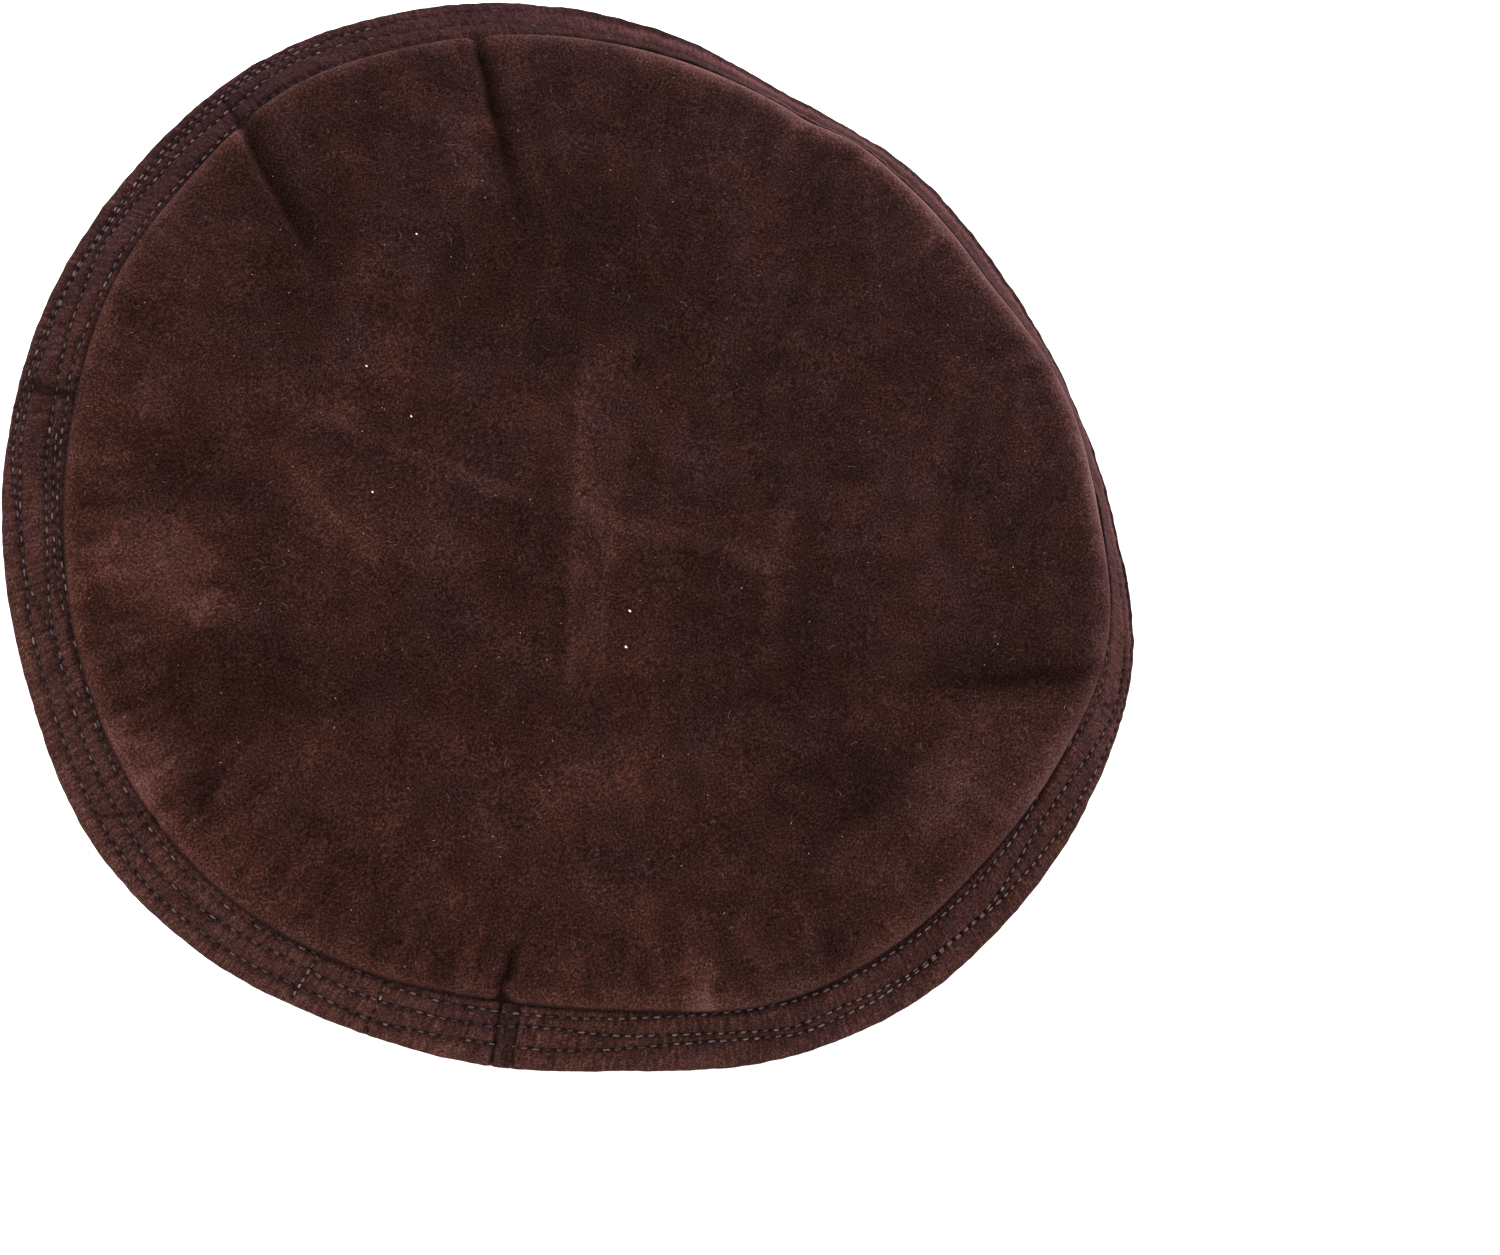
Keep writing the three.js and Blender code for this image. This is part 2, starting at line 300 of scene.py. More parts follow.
BAND_LINES = rows_of(
    BandLine,
    (Mark.JOIN, 301.8, 17.0, 301.0, 0.4, 2.0, 0.2, 0.5),
    (Mark.JOIN, 300.8, 16.5, 300.0, 0.6, 0.5, 0.6, 0.92),
    (Mark.JOIN, 302.9, 16.5, 302.0, 0.6, 0.5, 0.4, 0.85),
    (Mark.JOIN, 253.8, 12.0, 256.3, 1.4, 0.5, 0.5, 0.6),
    (Mark.TACK, 279.7, 15.1, 279.7, 0.4, 0.7, 0.4, 0.35),
    (Mark.TACK, 287.8, 15.8, 287.4, 1.3, 0.6, 0.4, 0.3),
    (Mark.CREASE, 169.4, 14.6, 171.2, 0.0, 0.8, 0.7, 0.7),
    (Mark.CREASE, 207.7, 13.9, 209.1, 0.7, 1.7, 0.5, 0.7),
    (Mark.CREASE, 322.6, 6.5, 322.1, 2.1, 0.6, 0.35, 0.45),
    (Mark.CREASE, 325.6, 6.0, 325.4, 2.0, 0.6, 0.3, 0.4),
    (Mark.CREASE, 327.6, 6.0, 327.4, 2.0, 0.6, 0.3, 0.4),
    (Mark.CREASE, 24.6, 11.3, 24.0, 6.5, 0.7, 0.4, 0.5),
)

# Bright specks of lint on the crown, the two largest first: x, y
LINT_SPECKS = ((21.6, -11.7), (26.5, -19.2), (-40.5, -31.3), (-61.6, -9.0), (-74.8, 24.4), (-46.1, -11.0))


def linear(code: str) -> tuple[float, float, float, float]:
    """Turns an sRGB hex colour into the linear colour that a shader takes.

    Args:
        code: Colour such as "#37221f".

    Returns:
        Linear red, green, blue and an alpha of 1.
    """
    shares = [int(code[i : i + 2], 16) / 255 for i in (1, 3, 5)]
    red, green, blue = (s / 12.92 if s <= 0.04045 else ((s + 0.055) / 1.055) ** 2.4 for s in shares)
    return red, green, blue, 1.0


def soft_noise(x: Array, y: Array, size: float, seed: int) -> Array:
    """Smooth noise over a plane.

    Args:
        x: First coordinates, in millimetres.
        y: Second coordinates, in millimetres.
        size: Width of one hump, in millimetres.
        seed: Picks one pattern.

    Returns:
        Values from about -1 to 1.
    """
    u, v = x / size, y / size
    column, row = np.floor(u), np.floor(v)
    fu, fv = u - column, v - row

    def corner(du: int, dv: int) -> Array:
        """Slope of one corner of the grid, taken to the points.

        Args:
            du: Corner's step along the first coordinate.
            dv: Corner's step along the second coordinate.

        Returns:
            Values at the points.
        """
        wave = np.sin((column + du) * SCATTER_U + (row + dv) * SCATTER_V + seed * SCATTER_SEED) * SCATTER
        turn = (wave - np.floor(wave)) * 2 * math.pi
        return np.cos(turn) * (fu - du) + np.sin(turn) * (fv - dv)

    su, sv = (f * f * f * (f * (f * 6 - 15) + 10) for f in (fu, fv))
    low = corner(0, 0) * (1 - su) + corner(1, 0) * su
    high = corner(0, 1) * (1 - su) + corner(1, 1) * su
    return (low * (1 - sv) + high * sv) * NOISE_GAIN


def clouds(x: Array, y: Array, layers: Clouds) -> Array:
    """Sum of layers of smooth noise over a plane."""
    return sum(layer.depth * soft_noise(x, y, layer.size, layer.seed) for layer in layers)


def smooth_step(value: Array, start: float, end: float) -> Array:
    """Rises smoothly from 0 at start to 1 at end."""
    t = np.clip((value - start) / (end - start), 0, 1)
    return t * t * (3 - 2 * t)


def span(value: Array, start: float, full: float, fade: float, end: float) -> Array:
    """Rises smoothly from 0 at start to 1 at full, and falls again from fade to end."""
    return smooth_step(value, start, full) * (1 - smooth_step(value, fade, end))


def hump(value: Array, middle: Array | float, width: Array | float, power: int = 2) -> Array:
    """1 at the middle, falling away to both sides over the width."""
    return np.exp(-(((value - middle) / width) ** power))


def turned_apart(first: Array, second: Array | float) -> Array:
    """Angle from second to first, from -180 to 180 degrees."""
    return (first - second + 180) % 360 - 180


def on_ring(angle: Array, radius: Array | float) -> tuple[Array, Array]:
    """Places at a radius about the hat's axis, as x and y from the axis."""
    return radius * np.cos(np.radians(angle)), radius * np.sin(np.radians(angle))


def round_value(table: Pairs, angle: Array) -> Array:
    """Values of a table of angles, joined up round the hat."""
    angles, values = zip(*table)
    return np.interp(angle, angles, values, period=360)


def far_side(angle: Array) -> Array:
    """1 on the hat's far side, where the band is seen aslant, and 0 elsewhere."""
    return span(angle, *FAR_WINDOW)


def fill(tree: Tree, node: bpy.types.Node, inputs: Inputs) -> None:
    """Sets a node's inputs.

    Args:
        tree: The node's tree.
        node: The node.
        inputs: A value, or an output to link, for each input by name or number.
    """
    for key, value in inputs.items():
        if isinstance(value, Socket):
            tree.links.new(value, node.inputs[key])
        else:
            node.inputs[key].default_value = value


def add_node(tree: Tree, kind: str, inputs: Optional[Inputs] = None, **settings: Any) -> bpy.types.Node:
    """Adds a node to a shader tree or a geometry tree.

    Args:
        tree: The tree.
        kind: Blender's name for the kind of node.
        inputs: A value, or an output to link, for each input by name or number.
        settings: The node's own properties.

    Returns:
        The node.
    """
    node = tree.nodes.new(kind)
    for name, value in settings.items():
        setattr(node, name, value)
    fill(tree, node, inputs or {})
    return node


def wire(tree: Tree, kind: str, inputs: Inputs, output: str | int = 0, **settings: Any) -> Socket:
    """One output of a new node."""
    return add_node(tree, kind, inputs, **settings).outputs[output]


def number(tree: Tree, operation: str, *values: Socket | float) -> Socket:
    """Result of arithmetic on values and outputs."""
    return wire(tree, "ShaderNodeMath", dict(enumerate(values)), operation=operation)


def vector(tree: Tree, **parts: Socket) -> Socket:
    """A vector made of its X, Y and Z parts."""
    return wire(tree, "ShaderNodeCombineXYZ", parts)


def random_vector(tree: Tree, low: Any, high: Any, seed: Socket) -> Socket:
    """A vector drawn for each point between two limits."""
    limits = {0: low, 1: high, "Seed": seed}
    return wire(tree, "FunctionNodeRandomValue", limits, data_type="FLOAT_VECTOR")


def turned(tree: Tree, rotation: Socket, by: Socket) -> Socket:
    """A rotation turned further about its own axes."""
    inputs = {"Rotation": rotation, "Rotate By": by}
    return wire(tree, "FunctionNodeRotateRotation", inputs, rotation_space="LOCAL")


def noise(
    tree: Tree, where: Socket, size: float, detail: float, roughness: float = 0.5, dimensions: str = "3D"
) -> Socket:
    """Noise with humps about size millimetres wide, from 0 to 1."""
    inputs = {"Vector": where, "Scale": 1 / (size * MM), "Detail": detail, "Roughness": roughness}
    return wire(tree, "ShaderNodeTexNoise", inputs, "Fac", noise_dimensions=dimensions)


def stored(tree: Tree, name: str) -> Socket:
    """A number that is stored on the mesh's points."""
    return wire(tree, "ShaderNodeAttribute", {}, "Fac", attribute_name=name)


def mixed(tree: Tree, share: Any, first: Any, second: Any, blend: str = "MIX") -> Socket:
    """Two colours mixed by a share."""
    inputs = {"Factor": share, 6: first, 7: second}
    return wire(tree, "ShaderNodeMix", inputs, 2, data_type="RGBA", blend_type=blend)


def dyes(tree: Tree, share: Socket, *stops: tuple[float, str]) -> Socket:
    """A colour that runs from dye to dye.

    Args:
        tree: The material's tree.
        share: Place along the run.
        stops: Places and hex colours, two or more in order.

    Returns:
        The colour.
    """
    ramp = add_node(tree, "ShaderNodeValToRGB", {"Fac": share})
    elements = ramp.color_ramp.elements
    for element, (position, code) in zip(elements, (stops[0], stops[-1])):
        element.position, element.color = position, linear(code)
    for position, code in stops[1:-1]:
        elements.new(position).color = linear(code)
    return ramp.outputs["Color"]


def bumped(tree: Tree, height: Socket, strength: float, distance: float) -> Socket:
    """Surface direction, roughened by a height of so many millimetres."""
    return wire(tree, "ShaderNodeBump", {"Height": height, "Strength": strength, "Distance": distance * MM})


def new_finish(name: str) -> tuple[bpy.types.Material, Tree, Socket]:
    """Starts a material.

    Args:
        name: The material's name.

    Returns:
        The material, its tree and places on the object in metres.
    """
    made = bpy.data.materials.new(name)
    made.use_nodes = True
    return made, made.node_tree, wire(made.node_tree, "ShaderNodeTexCoord", {}, "Object")


def fill_shader(tree: Tree, inputs: Inputs) -> None:
    """Sets the inputs of a material's own shader."""
    fill(tree, next(node for node in tree.nodes if node.type == "BSDF_PRINCIPLED"), inputs)


def new_tree(name: str, *numbers: str) -> tuple[Tree, Any]:
    """Starts a Geometry Nodes tree with a geometry, numbers, a seed and a finish for its inputs.

    Args:
        name: The tree's name.
        numbers: Names of its number inputs.

    Returns:
        The tree, and its inputs by name.
    """
    tree = bpy.data.node_groups.new(name, "GeometryNodeTree")
    kinds = {"Geometry": "Geometry", **dict.fromkeys(numbers, "Float"), "Seed": "Int", "Finish": "Material"}
    for label, kind in kinds.items():
        tree.interface.new_socket(name=label, in_out="INPUT", socket_type="NodeSocket" + kind)
    tree.interface.new_socket(name="Geometry", in_out="OUTPUT", socket_type="NodeSocketGeometry")
    return tree, add_node(tree, "NodeGroupInput").outputs


def end_tree(tree: Tree, finish: Socket, copies: Inputs) -> None:
    """Ends a Geometry Nodes tree: sets copies on points, makes them real and gives them their finish.

    Args:
        tree: The tree.
        finish: Its finish input.
        copies: Points, and the instance, rotation and scale of the copies on them.
    """
    laid = wire(tree, "GeometryNodeInstanceOnPoints", copies)
    real = wire(tree, "GeometryNodeRealizeInstances", {"Geometry": laid})
    dyed = wire(tree, "GeometryNodeSetMaterial", {"Geometry": real, "Material": finish})
    add_node(tree, "NodeGroupOutput", {"Geometry": dyed})


def place(name: str, mesh: Mesh) -> Piece:
    """Puts a mesh into the scene as an object at the origin.

    Args:
        name: The object's name.
        mesh: The mesh.

    Returns:
        The object.
    """
    piece = bpy.data.objects.new(name, mesh)
    bpy.context.scene.collection.objects.link(piece)
    return piece


def run_tree(name: str, ground: Mesh, tree: Tree, values: Inputs) -> Piece:
    """Runs a Geometry Nodes tree and keeps what it makes as a plain mesh.

    Args:
        name: Name of the piece.
        ground: Mesh that the tree starts from.
        tree: The tree.
        values: Values of its inputs by name.

    Returns:
        The piece, at the origin.
    """
    carrier = place(name + "_ground", ground)
    modifier = carrier.modifiers.new(tree.name, "NODES")
    modifier.node_group = tree
    for socket in tree.interface.items_tree:
        if socket.in_out == "INPUT" and socket.name in values:
            modifier[socket.identifier] = values[socket.name]
    graph = bpy.context.evaluated_depsgraph_get()
    mesh = bpy.data.meshes.new_from_object(carrier.evaluated_get(graph), depsgraph=graph)
    mesh.name = name
    bpy.data.objects.remove(carrier)
    return place(name, mesh)


def ring_mesh(name: str, rows: Array, closed: bool, poles: Sequence[Array] = ()) -> Mesh:
    """Makes a smooth mesh from rings of points round the hat's axis.

    Args:
        name: The mesh's name.
        rows: Points in millimetres, as rings by angles by 3. Outside lies to the left of the rings' order.
        closed: Whether the last ring joins the first.
        poles: Points that close the first and the last ring of an open row.

    Returns:
        The mesh, in metres.
    """
    count, around = rows.shape[:2]
    index = np.arange(count * around).reshape(count, around)
    first = index if closed else index[:-1]
    second = np.roll(index, -1, axis=0) if closed else index[1:]
    corners = [first, second, np.roll(second, -1, axis=1), np.roll(first, -1, axis=1)]
    faces = np.stack(corners, axis=-1).reshape(-1, 4).tolist()
    points = rows.reshape(-1, 3)
    if poles:
        top, bottom = count * around, count * around + 1
        points = np.vstack([points, np.array(poles)])
        for j in range(around):
            after = (j + 1) % around
            faces.append([top, int(index[0, j]), int(index[0, after])])
            faces.append([bottom, int(index[-1, after]), int(index[-1, j])])
    mesh = bpy.data.meshes.new(name)
    mesh.from_pydata((points * MM).tolist(), [], faces)
    mesh.shade_smooth()
    return mesh


def paint(mesh: Mesh, name: str, values: Array) -> None:
    """Stores one number for each point of a mesh, for its material to read.

    Args:
        mesh: The mesh.
        name: Name of the store.
        values: Numbers, rings by angles. A pole takes the mean of its ring.
    """
    poles = [values[0].mean(), values[-1].mean()][: len(mesh.vertices) - values.size]
    layer = mesh.attributes.new(name, "FLOAT", "POINT")
    layer.data.foreach_set("value", np.concatenate([values.ravel(), poles]).astype(np.float32))


@dataclass(frozen=True)
class Velvet:
    """Cotton velvet: short upright pile that looks darker or lighter by the way it was brushed, with painted
    sheen and shade in its colour.

    Depths say how many times e the light of the cloth changes over the whole range of a pattern.
    """

    name: str
    warm_dye: str
    dye: str
    cool_dye: str
    # Colour of the painted shade in seams, creases, stitch channels and needle holes
    crease: str
    # Colour of the pile's tips, which the painted sheen takes on too
    tips: str
    # Pile tips stand in tufts about half a millimetre wide and a little longer along the warp
    grain: float = 0.42
    grain_depth: float = 4.0
    tuft: tuple[float, float, float] = (1.0, 0.7, 1.0)
    # The mottle is where tufts lean together
    mottle: float = 4.0
    mottle_depth: float = 0.25
    # A strip's pile is combed into fine ribs across the rows of stitches
    rib: float = 0.0
    rib_depth: float = 0.0
    rib_length: float = 7.0
    # Nap at which the tips start to show, and at which they cover the dye; brushing and painted sheen both
    # raise the nap
    tips_from: float = 0.6
    tips_full: float = 2.2
    # Where the tips show, on brushed pile and on painted sheen, the grain is calmer
    calming: float = 0.6
    sheen: float = 0.08
    sheen_tint: str = "#c38988"
    # How much cooler the colour is painted for each metre along X, Y and Z, a painted sheen tint towards the
    # far side, and how wide the dye's clouds are
    fade: tuple[float, float, float] = (0.0, 1.6, 0.0)
    fade_cloud: float = 16.0
    bump: float = 0.35

    def ribs(self, tree: Tree) -> Socket:
        """Ribs across the strip, drawn out along its width.

        Args:
            tree: The material's tree.

        Returns:
            The ribs, from 0 to 1.
        """
        cloth = wire(tree, "ShaderNodeUVMap", {}, uv_map="cloth")
        combed = wire(tree, "ShaderNodeMapping", {"Vector": cloth, "Scale": (1.0, 1 / self.rib_length, 1.0)})
        return noise(tree, combed, self.rib, 2.0, 0.55, "2D")

    def tone(
        self, tree: Tree, patterns: Sequence[tuple[Socket, float]], nap_and_painted_light: Socket, raised: Socket
    ) -> Socket:
        """Tone of the pile's colour: its brushing, with painted sheen and shade.

        Args:
            tree: The material's tree.
            patterns: Patterns in the pile, with their depths.
            nap_and_painted_light: How the pile is brushed, with its painted sheen and shade.
            raised: Share of the tips that show.

        Returns:
            The light, 1 where nothing changes it.
        """
        calm, light = number(tree, "MULTIPLY_ADD", raised, -self.calming, 1.0), nap_and_painted_light
        for pattern, depth in patterns:
            centred = number(tree, "SUBTRACT", pattern, 0.5)
            light = number(tree, "MULTIPLY_ADD", number(tree, "MULTIPLY", centred, calm), depth, light)
        return number(tree, "POWER", math.e, light)

    def material(self) -> bpy.types.Material:
        """Makes the material.

        Returns:
            Velvet coloured by its brushed nap with painted sheen and shade, its grain of pile tips and the
            painted shade of its creases.
        """
        made, tree, on_cloth = new_finish(self.name)
        lie = {"Vector": on_cloth, "Rotation": (0, 0, math.radians(-THREAD_ANGLE)), "Scale": self.tuft}
        height = grain = noise(tree, wire(tree, "ShaderNodeMapping", lie), self.grain, 1.0)
        patterns = [(grain, self.grain_depth), (noise(tree, on_cloth, self.mottle, 3.0), self.mottle_depth)]
        if self.rib_depth:
            rib = self.ribs(tree)
            patterns.append((rib, self.rib_depth))
            height = number(tree, "ADD", grain, rib)
        # Read from the mesh: the nap, brushing together with painted sheen and shade, and the painted shade
        # of creases
        nap_and_painted_light, crease_shade = stored(tree, "nap_and_painted_light"), stored(tree, "crease_shade")
        limits = {"Value": nap_and_painted_light, "From Min": self.tips_from, "From Max": self.tips_full}
        raised = wire(tree, "ShaderNodeMapRange", limits)
        tone = self.tone(tree, patterns, nap_and_painted_light, raised)
        # The dye varies in clouds, and is painted cooler towards the far side as a painted sheen tint
        along = {0: on_cloth, 1: self.fade}
        sideways = wire(tree, "ShaderNodeVectorMath", along, "Value", operation="DOT_PRODUCT")
        dye_cloud_and_far_tint = number(tree, "ADD", sideways, noise(tree, on_cloth, self.fade_cloud, 4.0))
        dye = dyes(tree, dye_cloud_and_far_tint, (0.3, self.warm_dye), (0.5, self.dye), (0.7, self.cool_dye))
        # Where the nap is high, from brushing and from painted sheen, the cooler tips colour shows
        tipped = mixed(tree, raised, dye, linear(self.tips))
        brushed = mixed(tree, 1.0, tipped, tone, "MULTIPLY")
        inputs = {
            # Painted shade: the dark crease colour is mixed in where creases are shaded
            "Base Color": mixed(tree, crease_shade, brushed, linear(self.crease)),
            "Normal": bumped(tree, height, self.bump, 0.25),
            # Where shade is painted, the sheen is taken away so that the painted shade stays dark
            "Sheen Weight": number(tree, "MULTIPLY_ADD", crease_shade, -self.sheen, self.sheen),
            "Sheen Roughness": 0.35,
            "Sheen Tint": linear(self.sheen_tint),
            "Roughness": 0.95,
            "Specular IOR Level": 0.02,
        }
        fill_shader(tree, inputs)
        return made


@dataclass(frozen=True)
class WovenLining:
    """Plain-woven dark cotton: the crown's inside, flat and matt with a fine even weave."""

    name: str = "woven_cotton_lining"
    thread: str = "#3b2a26"
    gap: str = "#1f1513"
    # Threads of such cotton lie 0.4 mm apart; drawn at 0.9 mm so that they show
    spacing: float = 0.9
    # A wave texture at scale 1 repeats about every 0.314 of a unit
    wave_repeat: float = 0.314

    def material(self) -> bpy.types.Material:
        """Makes the material.

        Returns:
            Cotton with crossed threads in its colour and its bump.
        """
        made, tree, on_cloth = new_finish(self.name)
        scale = self.wave_repeat / (self.spacing * MM)
        threads = {"Vector": on_cloth, "Scale": scale, "Distortion": 0.6, "Detail": 1.0}
        waves = [wire(tree, "ShaderNodeTexWave", threads, "Fac", bands_direction=way) for way in ("X", "Y")]
        weave = number(tree, "MULTIPLY", *waves)
        inputs = {
            "Base Color": dyes(tree, weave, (0.0, self.gap), (1.0, self.thread)),
            "Normal": bumped(tree, weave, 0.4, 0.2),
            "Roughness": 0.9,
            "Specular IOR Level": 0.1,
        }
        fill_shader(tree, inputs)
        return made


@dataclass(frozen=True)
class SpunThread:
    """Spun polyester sewing thread: two plies with a slight lustre, or loose fibre of the same kind."""

    name: str
    bright: str
    dull: str
    # Plies of such thread repeat about every 0.5 mm
    ply: float = 0.5
    roughness: float = 0.6
    # Colour of the painted shade on stitches sunk in the pile
    dark: str = ""

    def material(self) -> bpy.types.Material:
        """Makes the material.

        Returns:
            Thread, mottled by its plies, and with painted shade in its dark colour where one is given.
        """
        made, tree, on_thread = new_finish(self.name)
        plies = noise(tree, on_thread, self.ply, 2.0, 0.6)
        colour = dyes(tree, plies, (0.3, self.dull), (0.7, self.bright))
        if self.dark:
            # Painted shade: by its shine, a stitch runs from its own colour to the dark colour of one shaded
            # deep in the pile
            colour = mixed(tree, stored(tree, "shine"), linear(self.dark), colour)
        fill_shader(tree, {"Base Color": colour, "Roughness": self.roughness, "Specular IOR Level": 0.2})
        return made


@dataclass(frozen=True)
class StudioPaper:
    """Matt white background paper with the faintest cloud in its tone, lit through from below."""

    name: str = "matt_white_paper"
    bright: str = "#f6f5f3"
    dull: str = "#f2f1ef"
    cloud: float = 120.0
    glow: float = 0.7

    def material(self) -> bpy.types.Material:
        """Makes the material.

        Returns:
            Matt paper.
        """
        made, tree, on_paper = new_finish(self.name)
        cloud = noise(tree, on_paper, self.cloud, 3.0)
        inputs = {
            "Base Color": dyes(tree, cloud, (0.0, self.dull), (1.0, self.bright)),
            "Roughness": 0.9,
            "Specular IOR Level": 0.1,
            "Emission Color": (1.0, 1.0, 1.0, 1.0),
            "Emission Strength": self.glow,
        }
        fill_shader(tree, inputs)
        return made


@dataclass
class Sections:
    """The hat's outline at a run of angles: seam, fold and the band's slope between them."""

    angle: Array
    fold: Array
    seam: Array
    seam_height: Array
    along: tuple[Array, Array]
    outward: tuple[Array, Array]

    def points(self, radius: Array, height: Array) -> Array:
        """Points at a radius and height on each section.

        Args:
            radius: Distances from the hat's axis, angles last.
            height: Heights, of the same shape.

        Returns:
            Points in millimetres in the part's frame.
        """
        radius, height = np.broadcast_arrays(radius, height)
        x, y = on_ring(self.angle, radius)
        return np.stack([AXIS_X + x, AXIS_Y + y, height], axis=-1)

    def on_band(self, across: Array, lift: Array) -> Array:
        """Points on the band, from distances to the seam and above the plain face, angles last."""
        radius = self.seam + across * self.along[0] + lift * self.outward[0]
        return self.points(radius, self.seam_height + across * self.along[1] + lift * self.outward[1])


@dataclass
class HatOutline:
    """The uneven round of the hat, as its solids have it."""

    band_width: float = 17.0
    fold_height: float = 46.0
    fold_sway: float = 0.4
    rows: tuple[OutlineRow, ...] = OUTLINE
    waves: tuple[SeamWave, ...] = SEAM_WAVES

    @staticmethod
    def smooth_round(values: Array, angle: Array) -> Array:
        """A smooth closed curve through values that stand evenly round the hat.

        Args:
            values: The values.
            angle: Angles in degrees.

        Returns:
            The curve at the angles.
        """
        place_in = (np.asarray(angle, dtype=float) % 360) / 360 * len(values)
        row = np.floor(place_in).astype(int)
        t = place_in - row
        before, here, after, later = (values[(row + step) % len(values)] for step in (-1, 0, 1, 2))
        rising, leaving = (after - before) / 2, (later - here) / 2
        a = 2 * here - 2 * after + rising + leaving
        b = -3 * here + 3 * after - 2 * rising - leaving
        return ((a * t + b) * t + rising) * t + here

    def rise(self, fold: Array, seam: Array) -> Array:
        """Height of the seam above the fold."""
        return np.sqrt(self.band_width**2 - (fold - seam) ** 2)

    def mean_rise(self) -> float:
        """Mean height of the seam above the fold."""
        return float(np.mean(self.rise(*np.array(self.rows).T)))

    def sections(self, angle: Array) -> Sections:
        """Seam, fold and slope at a run of angles.

        Args:
            angle: Angles in degrees.

        Returns:
            The sections.
        """
        fold, seam = (self.smooth_round(column, angle) for column in np.array(self.rows).T)
        for wave in self.waves:
            seam = seam + wave.shift * hump(turned_apart(angle, wave.angle), 0, wave.width)
        rise = self.rise(fold, seam)
        fold_height = self.fold_height + self.fold_sway * (self.mean_rise() - rise)
        lean, drop = (fold - seam) / self.band_width, rise / self.band_width
        return Sections(angle, fold, seam, fold_height + rise, (lean, -drop), (drop, lean))


@dataclass
class Crown:
    """The padded velvet round on top, gathered into its seam, with a woven lining inside."""

    outline: HatOutline
    around: int = 720
    wall: float = 2.0
    edge_round: float = 3.0
    dome: float = 2.4
    # Rings of points: distances in from the seam that grow inwards, then shares of the last ring
    edge_rings: tuple[float, ...] = (0.0, 0.06, 0.22, 0.45, 0.8, 1.25, 1.8, 2.4, 3.1)
    near_rings: int = 39
    ring_step: float = 0.9
    ring_growth: float = 0.004
    middle_rings: int = 54
    middle_share: float = 0.02
    lining_inset: float = 3.2
    lining_rings: tuple[float, ...] = (1, 0.97, 0.93, 0.86, 0.76, 0.6, 0.4, 0.2, 0.02)
    # The sewn hem, as places across the band and depths below its face
    hem: Pairs = ((0.1, 0.6), (0.4, 1.2), (0.7, 1.7), (0.7, 2.4), (-0.4, 2.7), (-1.2, 2.2))
    # Tucks draw the seam in, are seated in it, and have a steep side that softens inwards
    tucks: tuple[Tuck, ...] = TUCKS
    notch: float = 1.6
    notch_width: float = 2.2
    notch_run: float = 3.0
    notch_radius: float = 120.0
    seat_share: float = 0.35
    seat_inset: float = 6.0
    steep_width: float = 0.7
    steep_growth: float = 0.05
    # What a valley's relief adds to the steep side, and the share of the shade that its easy side takes
    valley_more: float = 0.2
    valley_share: float = 0.9
    ridge: Pair = (2.4, 1.7)
    # Painted highlight on a tuck's ridge: its middle and width, and its strength
    light_ridge: Pair = (2.3, 1.2)
    ridge_light: float = 0.6
    shade_rise: Pair = (-0.3, 0.6)
    tuck_wander: Clouds = rows_of(Cloud, (0.4, 8, 3))
    wander_rise: Pair = (2.0, 8.0)
    # A hook bends the valley aside at its ridge and back at its foot
    hook_ridge: Pair = (2.9, 1.8)
    hook_foot: Pair = (0.0, 1.2)
    hook_return: float = 1.3
    # Unevenness of the padding, gathers at the seam and relief of the fold marks
    dents: tuple[Dent, ...] = DENTS
    padding: Clouds = rows_of(Cloud, (0.55, 46, 11), (0.22, 19, 12))
    padding_rise: Pair = (0.5, 16.0)
    gathers: Clouds = rows_of(Cloud, (0.42, 7.5, 14))
    gather_window: Window = (0.3, 3.0, 5.0, 17.0)
    fold_marks: tuple[FoldMark, ...] = FOLD_MARKS
    mark_relief: float = 0.5
    relief_end: float = 6.0
    # How the pile is brushed: clouds with ragged borders, patches, thread marks and edge streaks; and the
    # painted sheen on the rim
    nap_clouds: Clouds = rows_of(Cloud, (0.08, 45, 20), (0.18, 20, 25), (0.26, 8, 26))
    nap_grain: Clouds = rows_of(Cloud, (0.04, 3.2, 27))
    ragged_x: Clouds = rows_of(Cloud, (2.4, 8, 22), (1.6, 3.4, 29), (0.8, 1.7, 21))
    ragged_y: Clouds = rows_of(Cloud, (2.4, 8, 24), (1.6, 3.4, 30), (0.8, 1.7, 23))
    nap_patches: tuple[NapPatch, ...] = NAP_PATCHES
    crossed: tuple[Streak, ...] = rows_of(Streak, (0.11, 1.4, 16, 33), (0.11, 18, 1.6, 34))
    crossed_edge: float = 0.45
    # Where along x and y the thread marks cross most, as middles and widths
    crossed_x: Pair = (12.0, 62.0)
    crossed_y: Pair = (4.0, 52.0)
    strokes: tuple[Streak, ...] = rows_of(Streak, (0.14, 5, 22, 36), (0.098, 20, 4, 37))
    mark_raggedness: float = 0.2
    mark_share: float = 0.85
    mark_breaks: Clouds = rows_of(Cloud, (0.3, 6, 28))
    mark_end: float = 5.0
    edge_streaks: Clouds = rows_of(Cloud, (0.25, 4.5, 35))
    streak_raggedness: float = 0.15
    streak_window: Window = (0.5, 3.0, 6.0, 30.0)
    front_angle: float = 275.0
    front_width: float = 45.0
    rim_sheen: Pairs = RIM_SHEEN
    # The rim's ridges of painted sheen: shares of the sheen, middles and widths
    rim_ridges: tuple[tuple[float, float, float], ...] = ((0.5, 0.0, 1.5), (0.5, 1.5, 2.8), (0.12, 0.0, 12.0))
    # Painted shade along the seam, where the crown turns under into the band
    seam_shade: float = 0.85
    seam_shade_width: float = 0.3
    velvet: Velvet = Velvet("brushed_velvet_crown", "#281511", "#261512", "#241514", "#0e0706", "#271919")
    lining: WovenLining = WovenLining()
    piece: Optional[Piece] = None

